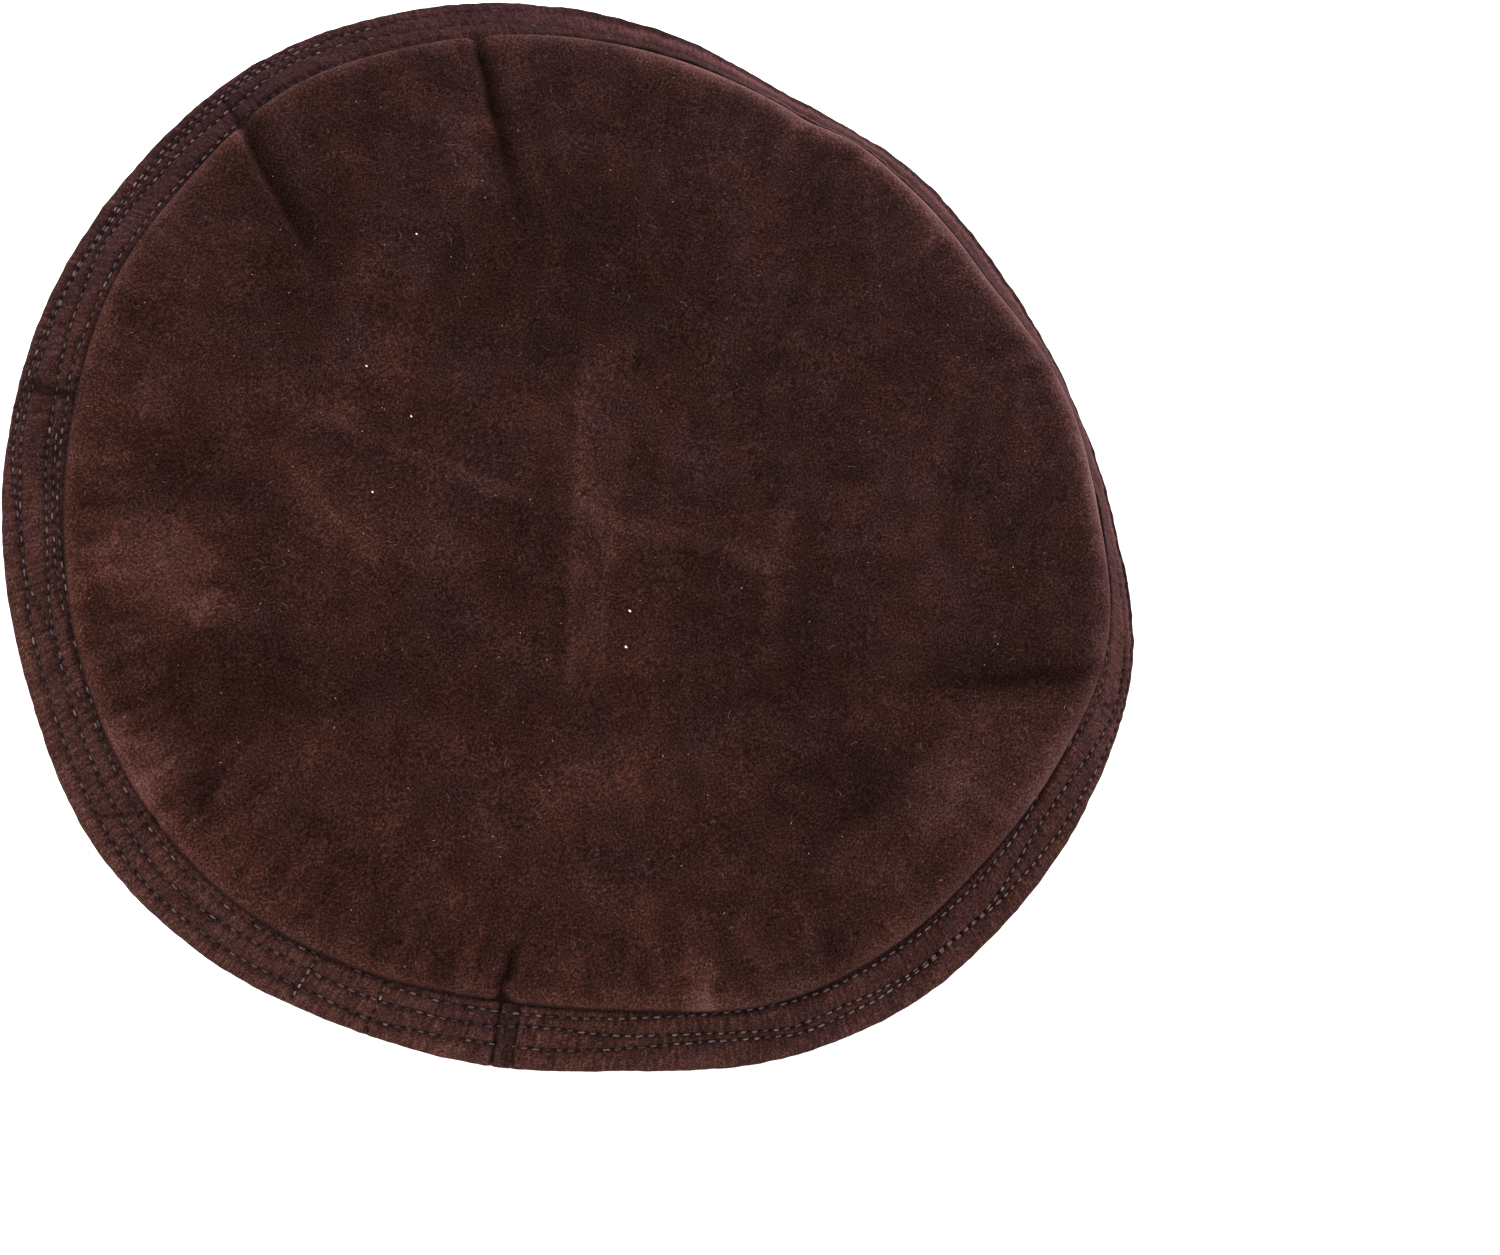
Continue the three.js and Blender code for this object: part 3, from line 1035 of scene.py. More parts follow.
    def radii(self, cut: Sections) -> Array:
        """Radii of the upper rings, from near the middle out to the seam.

        Args:
            cut: Sections of the rings.

        Returns:
            Radii, rings by angles.
        """
        steps = np.arange(1, self.near_rings + 1)
        grown = self.edge_rings[-1] + self.ring_step * steps + self.ring_growth * steps**2
        inset = np.concatenate([self.edge_rings, grown])[:, None]
        drawn_in = np.zeros_like(cut.seam)
        for tuck in self.tucks:
            beside = np.radians(turned_apart(cut.angle, tuck.angle)) * self.notch_radius
            drawn_in += self.notch * tuck.valley * hump(beside, 0, self.notch_width)
        outer = cut.seam - inset - drawn_in * np.exp(-inset / self.notch_run)
        shares = np.linspace(1, self.middle_share, self.middle_rings)[1:, None]
        return np.vstack([outer, outer[-1] * shares])[::-1]

    def beside_tuck(self, tuck: Tuck, cut: Sections, radius: Array) -> tuple[Array, Array]:
        """How far places lie beside a tuck's valley, and how far the tuck reaches them.

        Args:
            tuck: The tuck.
            cut: Sections of the places.
            radius: Radii of the places.

        Returns:
            Distances across the valley in millimetres, and a share from 0 to 1.
        """
        inset = cut.seam - radius
        inwards = inset / tuck.reach
        beside = np.radians(turned_apart(cut.angle, tuck.angle + tuck.lean * inwards)) * radius
        wander = clouds(inset, np.full_like(inset, tuck.angle), self.tuck_wander)
        wander = wander * smooth_step(inset, *self.wander_rise)
        hook = tuck.hook * (hump(inset, *self.hook_ridge) - self.hook_return * hump(inset, *self.hook_foot))
        return beside - hook + wander, np.clip(1 - inwards**2, 0, 1)

    def valley(self, tuck: Tuck, inset: Array, across: Array, more: float, share: float) -> Array:
        """Shape of a tuck's valley, its steep side wider by more and its easy side a share of the shade."""
        steep = more + self.steep_width + self.steep_growth * np.clip(inset, 0, tuck.reach)
        return hump(across, 0, np.where(across > 0, steep, share * tuck.shade_width))

    def tucked(self, cut: Sections, radius: Array) -> tuple[Array, Array]:
        """Height that the tucks leave the crown, and their own sharp folds.

        Args:
            cut: Sections of the rings.
            radius: Radii, rings by angles.

        Returns:
            The share of the height that is left, and the lift of valleys and ridges.
        """
        share, lift = np.ones_like(radius), np.zeros_like(radius)
        inset = cut.seam - radius
        seat = np.minimum(inset / self.seat_inset, 1)
        seated = self.seat_share + (1 - self.seat_share) * seat
        for tuck in self.tucks:
            across, inside = self.beside_tuck(tuck, cut, radius)
            share *= 1 - tuck.share * seated * hump(across, 0, tuck.width) * inside
            valley = tuck.valley * self.valley(tuck, inset, across, self.valley_more, self.valley_share)
            lift += (tuck.ridge * hump(across, *self.ridge) - valley) * inside * seat
        return share, lift

    def tuck_shade(self, tuck: Tuck, cut: Sections, radius: Array) -> Array:
        """Painted light and shade beside a tuck, in the nap: a sharp painted shade in the valley that fades
        one way, and a painted highlight on the ridge.

        Args:
            tuck: The tuck.
            cut: Sections of the rings.
            radius: Radii, rings by angles.

        Returns:
            Lift of the nap, as painted light and shade.
        """
        inset = cut.seam - radius
        across, inside = self.beside_tuck(tuck, cut, radius)
        # Painted highlight on the ridge and painted shade in the valley
        light = self.ridge_light * tuck.ridge * hump(across, *self.light_ridge)
        dark = tuck.shade * self.valley(tuck, inset, across, 0.0, 1.0)
        return (light - dark) * inside * smooth_step(inset, *self.shade_rise)

    @staticmethod
    def from_mark(mark: FoldMark, x: Array, y: Array) -> tuple[Array, Array]:
        """How far points lie beside a fold mark, and beyond its ends.

        Args:
            mark: The fold mark.
            x: Points' x.
            y: Points' y.

        Returns:
            Distances across the mark and past its ends.
        """
        dx, dy = mark.x1 - mark.x0, mark.y1 - mark.y0
        length = math.hypot(dx, dy)
        run = ((x - mark.x0) * dx + (y - mark.y0) * dy) / length
        beside = ((y - mark.y0) * dx - (x - mark.x0) * dy) / length
        return beside, np.maximum(np.maximum(-run, run - length), 0)

    def relief(self, cut: Sections, radius: Array) -> Array:
        """Small unevenness of the padded cloth.

        Args:
            cut: Sections of the rings.
            radius: Radii, rings by angles.

        Returns:
            Lift in millimetres.
        """
        x, y = on_ring(cut.angle, radius)
        inset = cut.seam - radius
        lift = smooth_step(inset, *self.padding_rise) * clouds(x, y, self.padding)
        # Gathers that run in from the seam
        lift += clouds(*on_ring(cut.angle, BAND_RADIUS), self.gathers) * span(inset, *self.gather_window)
        for mark in self.fold_marks:
            beside, beyond = self.from_mark(mark, x, y)
            shape = hump(beside, 0, mark.width) * hump(beyond, 0, self.relief_end)
            lift += self.mark_relief * mark.lift * shape
        return lift

    def height(self, cut: Sections, radius: Array) -> Array:
        """Height of the crown's upper face.

        Args:
            cut: Sections of the rings.
            radius: Radii, rings by angles.

        Returns:
            Heights in millimetres.
        """
        share = radius / cut.seam
        inset = np.clip(cut.seam - radius, 0, self.edge_round)
        edge = np.sqrt(np.maximum(self.edge_round**2 - (self.edge_round - inset) ** 2, 0))
        mean = self.outline.fold_height + self.outline.mean_rise()
        level = mean + (cut.seam_height - mean) * share**2
        x, y = on_ring(cut.angle, radius)
        left, folds = self.tucked(cut, radius)
        broad = sum(d.lift * hump(np.hypot(x - d.x, y - d.y), 0, d.radius) for d in self.dents)
        puff = (edge + self.dome * (1 - share**4)) * left
        return level + puff + broad * (1 - share**6) + folds + self.relief(cut, radius)

    @staticmethod
    def patch_shape(patch: NapPatch, x: Array, y: Array) -> Array:
        """Share of a nap patch at places.

        Args:
            patch: The patch.
            x: Places' x.
            y: Places' y.

        Returns:
            Shares, from 0 outside the patch to 1 in its middle.
        """
        c, s = math.cos(math.radians(patch.turn)), math.sin(math.radians(patch.turn))
        run = ((x - patch.x) * c + (y - patch.y) * s) / patch.long
        side = (-(x - patch.x) * s + (y - patch.y) * c) / patch.wide
        return np.exp(-((run**2 + side**2) ** 3))

    def thread_marks(self, x: Array, y: Array) -> Array:
        """Fine marks along the cloth's threads, which cross each other most in its middle.

        Args:
            x: Places' x.
            y: Places' y.

        Returns:
            Lift of the nap.
        """
        c, s = math.cos(math.radians(THREAD_ANGLE)), math.sin(math.radians(THREAD_ANGLE))
        weft, warp = x * c + y * s, -x * s + y * c
        crossed, strokes = (
            sum(m.depth * soft_noise(weft / m.weft, warp / m.warp, 1.0, m.seed) for m in marks)
            for marks in (self.crossed, self.strokes)
        )
        middle = hump(x, *self.crossed_x) * hump(y, *self.crossed_y)
        return crossed * (self.crossed_edge + (1 - self.crossed_edge) * middle) + strokes

    def nap_and_painted_light(self, cut: Sections, radius: Array) -> tuple[Array, Array]:
        """How the pile lies, with its painted sheen and shade, and where crease shade is painted.

        Args:
            cut: Sections of the rings.
            radius: Radii, rings by angles.

        Returns:
            Nap with its painted sheen and shade, as the power of e that the light changes by, and pinch, the
            painted seam shade, from 0 to 1.
        """
        x, y = on_ring(cut.angle, radius)
        x, y, inset = AXIS_X + x, AXIS_Y + y, cut.seam - radius
        # Places are shifted unevenly, so that what is brushed there has ragged, cloudy borders
        wx, wy = x + clouds(x, y, self.ragged_x), y + clouds(x, y, self.ragged_y)
        nap_and_painted_light = clouds(wx, wy, self.nap_clouds) + clouds(x, y, self.nap_grain) + self.thread_marks(wx, wy)
        for patch in self.nap_patches:
            nap_and_painted_light += patch.lift * self.patch_shape(patch, wx, wy)
        broken = self.mark_share + clouds(wx, wy, self.mark_breaks)
        mark_x, mark_y = x + self.mark_raggedness * (wx - x), y + self.mark_raggedness * (wy - y)
        for mark in self.fold_marks:
            beside, beyond = self.from_mark(mark, mark_x, mark_y)
            nap_and_painted_light += mark.lift * broken * hump(beside, 0, mark.width, 4) * hump(beyond, 0, self.mark_end)
        # Brushed streaks that run in from the gathered edge, twice as deep in front
        ring_x, ring_y = on_ring(cut.angle, BAND_RADIUS)
        ragged = self.streak_raggedness
        streak = clouds(ring_x + ragged * wx, ring_y + ragged * wy, self.edge_streaks)
        front = hump(turned_apart(cut.angle, self.front_angle), 0, self.front_width)
        nap_and_painted_light += (1 + front) * streak * span(inset, *self.streak_window)
        # Painted sheen along the rounded rim, brightest on the far side
        rim = sum(share * hump(inset, middle, width) for share, middle, width in self.rim_ridges)
        nap_and_painted_light += rim * round_value(self.rim_sheen, cut.angle)
        # Painted light and shade beside the tucks
        for tuck in self.tucks:
            nap_and_painted_light += self.tuck_shade(tuck, cut, radius)
        # Painted seam shade, left off on the far side where the sheen is painted
        return nap_and_painted_light, self.seam_shade * hump(inset, 0, self.seam_shade_width) * (1 - far_side(cut.angle))

    def build(self) -> Piece:
        """Makes the crown.

        Returns:
            The crown's piece.
        """
        cut = self.outline.sections(np.arange(self.around) * 360 / self.around)
        upper = self.radii(cut)
        upper_height = self.height(cut, upper)
        upper_height[-1] = cut.seam_height
        # The edge turns down and in under itself, where it is sewn to the band
        across, deep = np.array(self.hem).T[:, :, None]
        inner = (cut.seam - self.lining_inset) * np.array(self.lining_rings)[:, None]
        lining = cut.points(inner, self.height(cut, inner) - self.wall)
        rows = np.concatenate([cut.points(upper, upper_height), cut.on_band(across, -deep), lining])
        poles = [rows[0].mean(axis=0), rows[-1].mean(axis=0)]
        mesh = ring_mesh("crown_cloth", rows, closed=False, poles=poles)
        nap_and_painted_light, crease_shade = self.nap_and_painted_light(cut, upper)
        below = np.zeros((len(self.hem) + len(inner), self.around))
        paint(mesh, "nap_and_painted_light", np.vstack([nap_and_painted_light, below]))
        # The turned-under hem takes the painted seam shade
        below[: len(self.hem)] = self.seam_shade
        paint(mesh, "crease_shade", np.vstack([crease_shade, below]))
        self.piece = place("crown_cloth", mesh)
        mesh.materials.append(self.velvet.material())
        mesh.materials.append(self.lining.material())
        # Faces of the two poles take turns after those of the rings
        first_lining = (len(upper) + len(self.hem) - 1) * self.around
        last_lining = (len(rows) - 1) * self.around
        finish = np.zeros(len(mesh.polygons), dtype=np.int32)
        finish[first_lining:last_lining] = 1
        finish[last_lining + 1 :: 2] = 1
        mesh.polygons.foreach_set("material_index", finish)
        return self.piece

    def dress(self, extras: Sequence[Piece]) -> None:
        """Ties the crown to its CAD node and hides that node.

        Args:
            extras: Pieces that lie on it; not used.
        """
        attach(self.piece, "root")
        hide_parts("crown")


@dataclass
class StitchRow:
    """One row of topstitching along the band."""

    places: Pairs
    closing: Closing
    # Angles between which the pile hides the thread, and the share of its shine that is left there
    hidden: Pair = (0.0, 0.0)
    hidden_shine: float = 0.15
    # The mean of near angles rounds the corners between the table's places
    rounding: tuple[float, ...] = tuple(np.linspace(-1.4, 1.4, 7))

    def limits(self) -> tuple[float, float]:
        """Angles at which the row starts and ends."""
        return (0.0, 360.0) if self.closing is Closing.LOOP else (self.places[0][0], self.places[-1][0])

    def seen(self, angle: Array) -> Array:
        """Share of the thread's shine that is left at each angle."""
        return np.where((angle > self.hidden[0]) & (angle < self.hidden[1]), self.hidden_shine, 1.0)

    def across(self, angle: Array) -> Array:
        """How far down the band the row lies at each angle.

        Args:
            angle: Angles in degrees.

        Returns:
            Distances from the seam in millimetres.
        """
        angles, values = zip(*self.places)
        period = 360 if self.closing is Closing.LOOP else None
        near = [np.interp(angle + step, angles, values, period=period) for step in self.rounding]
        return np.mean(near, axis=0)

    def present(self, angle: Array) -> Array:
        """1 where the row runs and 0 where it doesn't."""
        start, end = self.limits()
        return ((angle >= start) & (angle <= end)).astype(float)


@dataclass
class StitchPlace:
    """Where stitches lie: middles, angles, shares of shine, directions and the band's outward directions."""

    middles: list[Array] = field(default_factory=list)
    angles: list[float] = field(default_factory=list)
    seen: list[float] = field(default_factory=list)
    directions: list[Array] = field(default_factory=list)
    outwards: list[Array] = field(default_factory=list)


@dataclass
class StitchedBand:
    """The sloping strip round the crown: two layers of velvet sewn flat by rows of topstitching."""

    outline: HatOutline
    around: int = 1600
    thickness: float = 3.2
    seam_gap: float = 0.4
    fold_reach: float = 1.1
    # Rings of points across the strip: close ones at the seam, then even ones
    seam_rings: tuple[float, ...] = (0.4, 0.55, 0.75, 1.0)
    first_even: float = 1.4
    even_rings: int = 34
    fold_rings: int = 9
    under_rings: int = 8
    cloth_radius: float = 128.0
    # Rows of stitches, with their spacing, depth and the width of their channels
    rows: tuple[StitchRow, ...] = rows_of(
        StitchRow,
        (INNER_ROW, Closing.LOOP, (110.0, 172.0)),
        (MIDDLE_ROW, Closing.LOOP),
        (OUTER_ROW, Closing.LOOP),
        (SECOND_INNER_ROW, Closing.OPEN),
        (SECOND_OUTER_ROW, Closing.OPEN),
        (CROSSING_ROW, Closing.OPEN),
    )
    pitch: float = 2.7
    steps_per_degree: int = 8
    row_depth: float = 0.42
    row_width: float = 0.8
    # Painted shade in the rows' channels
    row_shade: float = 0.5
    hole_depth: float = 0.4
    # Painted shade in the needle holes
    hole_shade: float = 0.85
    hole_across: float = 0.7
    hole_along: float = 0.75
    hole_columns: int = 4
    # Angles over which the pile has closed over the rows, and the share of their depth that it takes
    closed_window: Window = (30.0, 55.0, 130.0, 172.0)
    closed_share: float = 0.7
    # Lines down the band, their window in shares of their length, and the low banks beside them
    lines: tuple[BandLine, ...] = BAND_LINES
    line_window: Window = (-0.08, 0.04, 0.96, 1.08)
    bank: Pair = (1.7, 0.8)
    bank_share: float = 0.3
    # The tacks' thread lies loose on the pile, so more of it shines
    tack_shine: float = 2.2
    tack_inset: float = 0.6
    tack_steps: int = 40
    puckers: Clouds = rows_of(Cloud, (0.26, 6.5, 31), (0.16, 2.4, 32))
    pucker_spread: float = 0.35
    pucker_rise: Pair = (0.4, 2.5)
    # How deep the strip turns down into the crown seam, where, and how dark the painted shade in the seam is
    seam_turn: float = 1.3
    seam_bend: Pair = (0.4, 0.7)
    seam_crease: Pair = (0.4, 0.35)
    seam_shade: float = 0.9
    # The seam's painted shadow on the far side, and the second crease with its painted shade and the painted
    # highlight on its ridge
    shadow_rise: Pair = (2.0, 4.0)
    second_window: Window = (84.0, 92.0, 104.0, 112.0)
    second_crease: Pair = (6.2, 1.0)
    second_shade: float = 0.8
    second_ridge: Pair = (4.4, 0.8)
    second_light: float = 0.8
    # The strip's nap: painted sheen and shade round the hat, brushed clouds, and lighter on the padded fold
    sheen_round: Pairs = BAND_SHEEN
    broad_nap: Clouds = rows_of(Cloud, (0.2, 16, 41))
    fine_nap: Clouds = rows_of(Cloud, (0.25, 5, 42))
    fold_rise: Pair = (13.2, 14.6)
    fold_light: float = 0.22
    # On the far side, seen aslant: painted shade at the seam, painted sheen down the strip, painted shade at
    # its edge
    far_shade: float = 0.35
    far_rise: Pair = (6.0, 11.0)
    far_sheen: float = 0.7
    edge_rise: Pair = (12.8, 15.2)
    edge_shade: float = 1.8
    # Painted shade on the turned edge, deepening over its first rings
    turned_rise: Pair = (0.0, 3.0)
    turned_shade: float = 0.9
    velvet: Velvet = Velvet(
        "combed_velvet_band", "#2d1a16", "#2c1a18", "#2b181a", "#0d0707", "#2d191a",
        grain_depth=3.6, rib=0.8, rib_depth=1.8, sheen=0.11, fade=(-0.5, 1.2, 0.0),
    )
    piece: Optional[Piece] = None

    def line_places(self, line: BandLine, angle: Array, across: Array) -> tuple[Array, Array]:
        """How far points lie beside a line down the band, and whether the line reaches them.

        Args:
            line: The line.
            angle: Angles of the points.
            across: Distances of the points from the seam.

        Returns:
            Distances beside the line in millimetres, and a share from 0 to 1.
        """
        run = (across - line.inner_across) / (line.outer_across - line.inner_across)
        middle = line.inner_angle + (line.outer_angle - line.inner_angle) * np.clip(run, 0, 1)
        beside = np.radians(turned_apart(angle, middle)) * BAND_RADIUS
        return beside, span(run, *self.line_window)

    def shown(self, angle: Array) -> Array:
        """Share of the rows' depth that shows at each angle."""
        return 1 - self.closed_share * span(angle, *self.closed_window)

    def far_ridge(self, angle: Array) -> Array:
        """1 along the stretch of the far side where a second crease runs below the seam."""
        return span(angle, *self.second_window)

    def relief(self, angle: Array, across: Array) -> Array:
        """Lift of the outer face: sewn-down rows with soft channels between them, joins and puckers.

        Args:
            angle: Angles of the points.
            across: Distances of the points from the seam.

        Returns:
            Lift in millimetres, along the band's outward direction.
        """
        lift = clouds(*on_ring(angle, BAND_RADIUS + self.pucker_spread * across), self.puckers)
        lift = lift * smooth_step(across, *self.pucker_rise)
        for row in self.rows:
            channel = hump(across, row.across(angle), self.row_width)
            lift -= self.row_depth * self.shown(angle) * row.present(angle) * channel
        for line in self.lines:
            beside, reach = self.line_places(line, angle, across)
            lift -= line.depth * reach * hump(beside, 0, line.width)
            lift += self.bank_share * line.depth * reach * hump(np.abs(beside), *self.bank)
        return lift - self.seam_turn * hump(across, *self.seam_bend)

    def creases(self, angle: Array, across: Array) -> Array:
        """Painted shade where the cloth is pinched: at the seam, in the rows and along joins and creases.

        Args:
            angle: Angles of the points.
            across: Distances of the points from the seam.

        Returns:
            Pinch, the painted shade, from 0 to 1.
        """
        crease_shade = self.seam_shade * hump(across, *self.seam_crease)
        # On the far side the seam's own shadow is painted, and below it, for a stretch, the painted shade of
        # a second crease
        second = self.second_shade * self.far_ridge(angle) * hump(across, *self.second_crease)
        shadow = 1 - smooth_step(across, *self.shadow_rise) + second
        crease_shade = np.maximum(crease_shade, far_side(angle) * shadow)
        for row in self.rows:
            channel = hump(across, row.across(angle), self.row_width)
            crease_shade = np.maximum(crease_shade, self.row_shade * self.shown(angle) * row.present(angle) * channel)
        for line in self.lines:
            beside, reach = self.line_places(line, angle, across)
            crease_shade = np.maximum(crease_shade, line.dark * reach * hump(beside, 0, line.width, 4))
        return crease_shade

    def nap_and_painted_light(self, angle: Array, across: Array) -> Array:
        """How the strip's pile lies, with its painted sheen and shade.

        Args:
            angle: Angles of the points.
            across: Distances of the points from the seam.

        Returns:
            Nap, as the power of e that the light changes by.
        """
        x, y = on_ring(angle, BAND_RADIUS)
        nap_and_painted_light = round_value(self.sheen_round, angle) + clouds(x + across, y + across, self.broad_nap)
        # The padded fold beyond the rows is lighter
        nap_and_painted_light += clouds(x, y + across, self.fine_nap) + self.fold_light * smooth_step(across, *self.fold_rise)
        # On the far side, painted shade beside the seam and along the edge, and painted sheen between them
        second = self.second_light * self.far_ridge(angle) * hump(across, *self.second_ridge)
        light = self.far_sheen * smooth_step(across, *self.far_rise) + second
        edge = self.edge_shade * smooth_step(across, *self.edge_rise)
        return nap_and_painted_light + far_side(angle) * (light - self.far_shade - edge)

    def stitch_run(self, angle: Array, across: Array, kept: StitchPlace) -> Array:
        """Spaces stitches evenly along a path on the band.

        Args:
            angle: Angles along the path, closely spaced.
            across: Distances from the seam along the path.
            kept: Takes the stitches.

        Returns:
            Angles and distances from the seam of the needle holes, as two rows.
        """
        path = self.outline.sections(angle).on_band(across, self.relief(angle, across))
        run = np.concatenate([[0], np.cumsum(np.linalg.norm(np.diff(path, axis=0), axis=1))])
        count = max(int(round(run[-1] / self.pitch)), 1)
        holes = np.linspace(0, run[-1], count + 1)
        middles = (holes[:-1] + holes[1:]) / 2
        cut = self.outline.sections(np.interp(middles, run, angle))
        at = [np.stack([np.interp(m, run, path[:, i]) for i in range(3)], axis=-1) for m in (middles, holes)]
        direction = np.diff(at[1], axis=0)
        kept.middles.extend(at[0])
        kept.angles.extend(cut.angle)
        kept.directions.extend(direction / np.linalg.norm(direction, axis=1, keepdims=True))
        kept.outwards.extend(np.stack([*on_ring(cut.angle, cut.outward[0]), cut.outward[1]], axis=-1))
        return np.stack([np.interp(holes, run, angle), np.interp(holes, run, across)])

    def stitches(self) -> tuple[StitchPlace, Array]:
        """Places of all the stitches and of their needle holes.

        Returns:
            The stitches, and the holes as rows of angle and distance from the seam.
        """
        kept, holes = StitchPlace(), []
        for row in self.rows:
            start, end = row.limits()
            angle = np.linspace(start, end, int((end - start) * self.steps_per_degree) + 2)
            holes.append(self.stitch_run(angle, row.across(angle), kept))
            kept.seen.extend(row.seen(np.array(kept.angles[len(kept.seen) :])))
        for line in self.lines:
            if line.kind is Mark.TACK:
                across = np.linspace(line.inner_across + self.tack_inset, line.outer_across, self.tack_steps)
                angle = np.linspace(line.inner_angle, line.outer_angle, self.tack_steps)
                holes.append(self.stitch_run(angle, across, kept))
        kept.seen.extend([self.tack_shine] * (len(kept.angles) - len(kept.seen)))
        return kept, np.hstack(holes)

    def prick(self, holes: Array, angle: Array, across: Array, lift: Array, crease_shade: Array) -> None:
        """Presses a dimple into the outer face at every needle hole, with painted shade in it.

        Args:
            holes: Rows of angle and distance from the seam.
            angle: Angles of the columns.
            across: Distances from the seam, rings by columns.
            lift: Lift of the face, which is changed.
            crease_shade: Painted shade of the face, which is changed.
        """
        shown = self.shown(angle)
        for hole_angle, hole_across in holes.T:
            middle = int(round(hole_angle % 360 / 360 * self.around))
            columns = np.arange(middle - self.hole_columns, middle + self.hole_columns + 1) % self.around
            beside = np.radians(turned_apart(angle[columns], hole_angle)) * BAND_RADIUS
            deep = hump(across[:, columns], hole_across, self.hole_across) * hump(beside, 0, self.hole_along)
            deep *= shown[columns]
            lift[:, columns] -= self.hole_depth * deep
            crease_shade[:, columns] = np.maximum(crease_shade[:, columns], self.hole_shade * deep)

    def build(self, holes: Array) -> Piece:
        """Makes the band.

        Args:
            holes: Needle holes, as rows of angle and distance from the seam.

        Returns:
            The band's piece.
        """
        angle = np.arange(self.around) * 360 / self.around
        round_edge = self.thickness / 2
        end = self.outline.band_width + self.fold_reach - round_edge
        top = np.concatenate([self.seam_rings, np.linspace(self.first_even, end, self.even_rings)])
        across, steps = np.meshgrid(top, angle, indexing="ij")
        lift, crease_shade = self.relief(steps, across), self.creases(steps, across)
        self.prick(holes, angle, across, lift, crease_shade)
        # The strip goes round its fold and back under itself to the seam
        turns = np.radians(np.linspace(90, -90, self.fold_rings))[1:]
        under = np.linspace(end, self.seam_gap, self.under_rings)[1:]
        rest = len(turns) + len(under)
        run = np.concatenate([top, end + round_edge * np.cos(turns), under])
        fold_drop = round_edge * np.sin(turns) - round_edge
        drop = np.concatenate([np.zeros(len(top)), fold_drop, np.full(len(under), -self.thickness)])
        # The relief fades out round the fold
        ease = smooth_step(drop, -self.thickness, 0)[:, None]
        all_lift = drop[:, None] + ease * np.vstack([lift, np.tile(lift[-1], (rest, 1))])
        rows = self.outline.sections(angle).on_band(run[:, None], all_lift)
        mesh = ring_mesh("band_cloth", rows, closed=True)
        self.lay_cloth(mesh, run, drop)
        nap_and_painted_light = self.nap_and_painted_light(steps, across)
        # The turned edge keeps the last nap and takes painted shade
        edge_nap_and_shade = nap_and_painted_light[-1] - self.turned_shade * smooth_step(np.arange(rest), *self.turned_rise)[:, None]
        paint(mesh, "nap_and_painted_light", np.vstack([nap_and_painted_light, edge_nap_and_shade]))
        paint(mesh, "crease_shade", np.vstack([crease_shade, np.zeros((rest, self.around))]))
        mesh.materials.append(self.velvet.material())
        self.piece = place("band_cloth", mesh)
        return self.piece

    def lay_cloth(self, mesh: Mesh, run: Array, drop: Array) -> None:
        """Gives the strip a UV map in metres: along it, and across it round the fold.

        Args:
            mesh: The band's mesh.
            run: Distances from the seam of the rings.
            drop: Heights of the rings off the plain face, which add to the way round the fold.
        """
        way = np.concatenate([[0], np.cumsum(np.hypot(np.diff(run), np.diff(drop)))])
        way = np.append(way, way[-1] + self.thickness)
        step = 2 * math.pi * self.cloth_radius / self.around
        first = np.repeat(np.arange(len(run)), self.around)
        column = np.tile(np.arange(self.around), len(run))
        corners = [(0, 0), (1, 0), (1, 1), (0, 1)]
        uv = [np.stack([(column + dc) * step, way[first + dr]], axis=-1) for dr, dc in corners]
        layer = mesh.uv_layers.new(name="cloth")
        layer.data.foreach_set("uv", (np.stack(uv, axis=1) * MM).astype(np.float32).ravel())

    def dress(self, extras: Sequence[Piece]) -> None:
        """Ties the band to its CAD node and hides that node.

        Args:
            extras: Pieces that lie on it; not used.
        """
        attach(self.piece, "root")
        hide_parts("stitched_band")


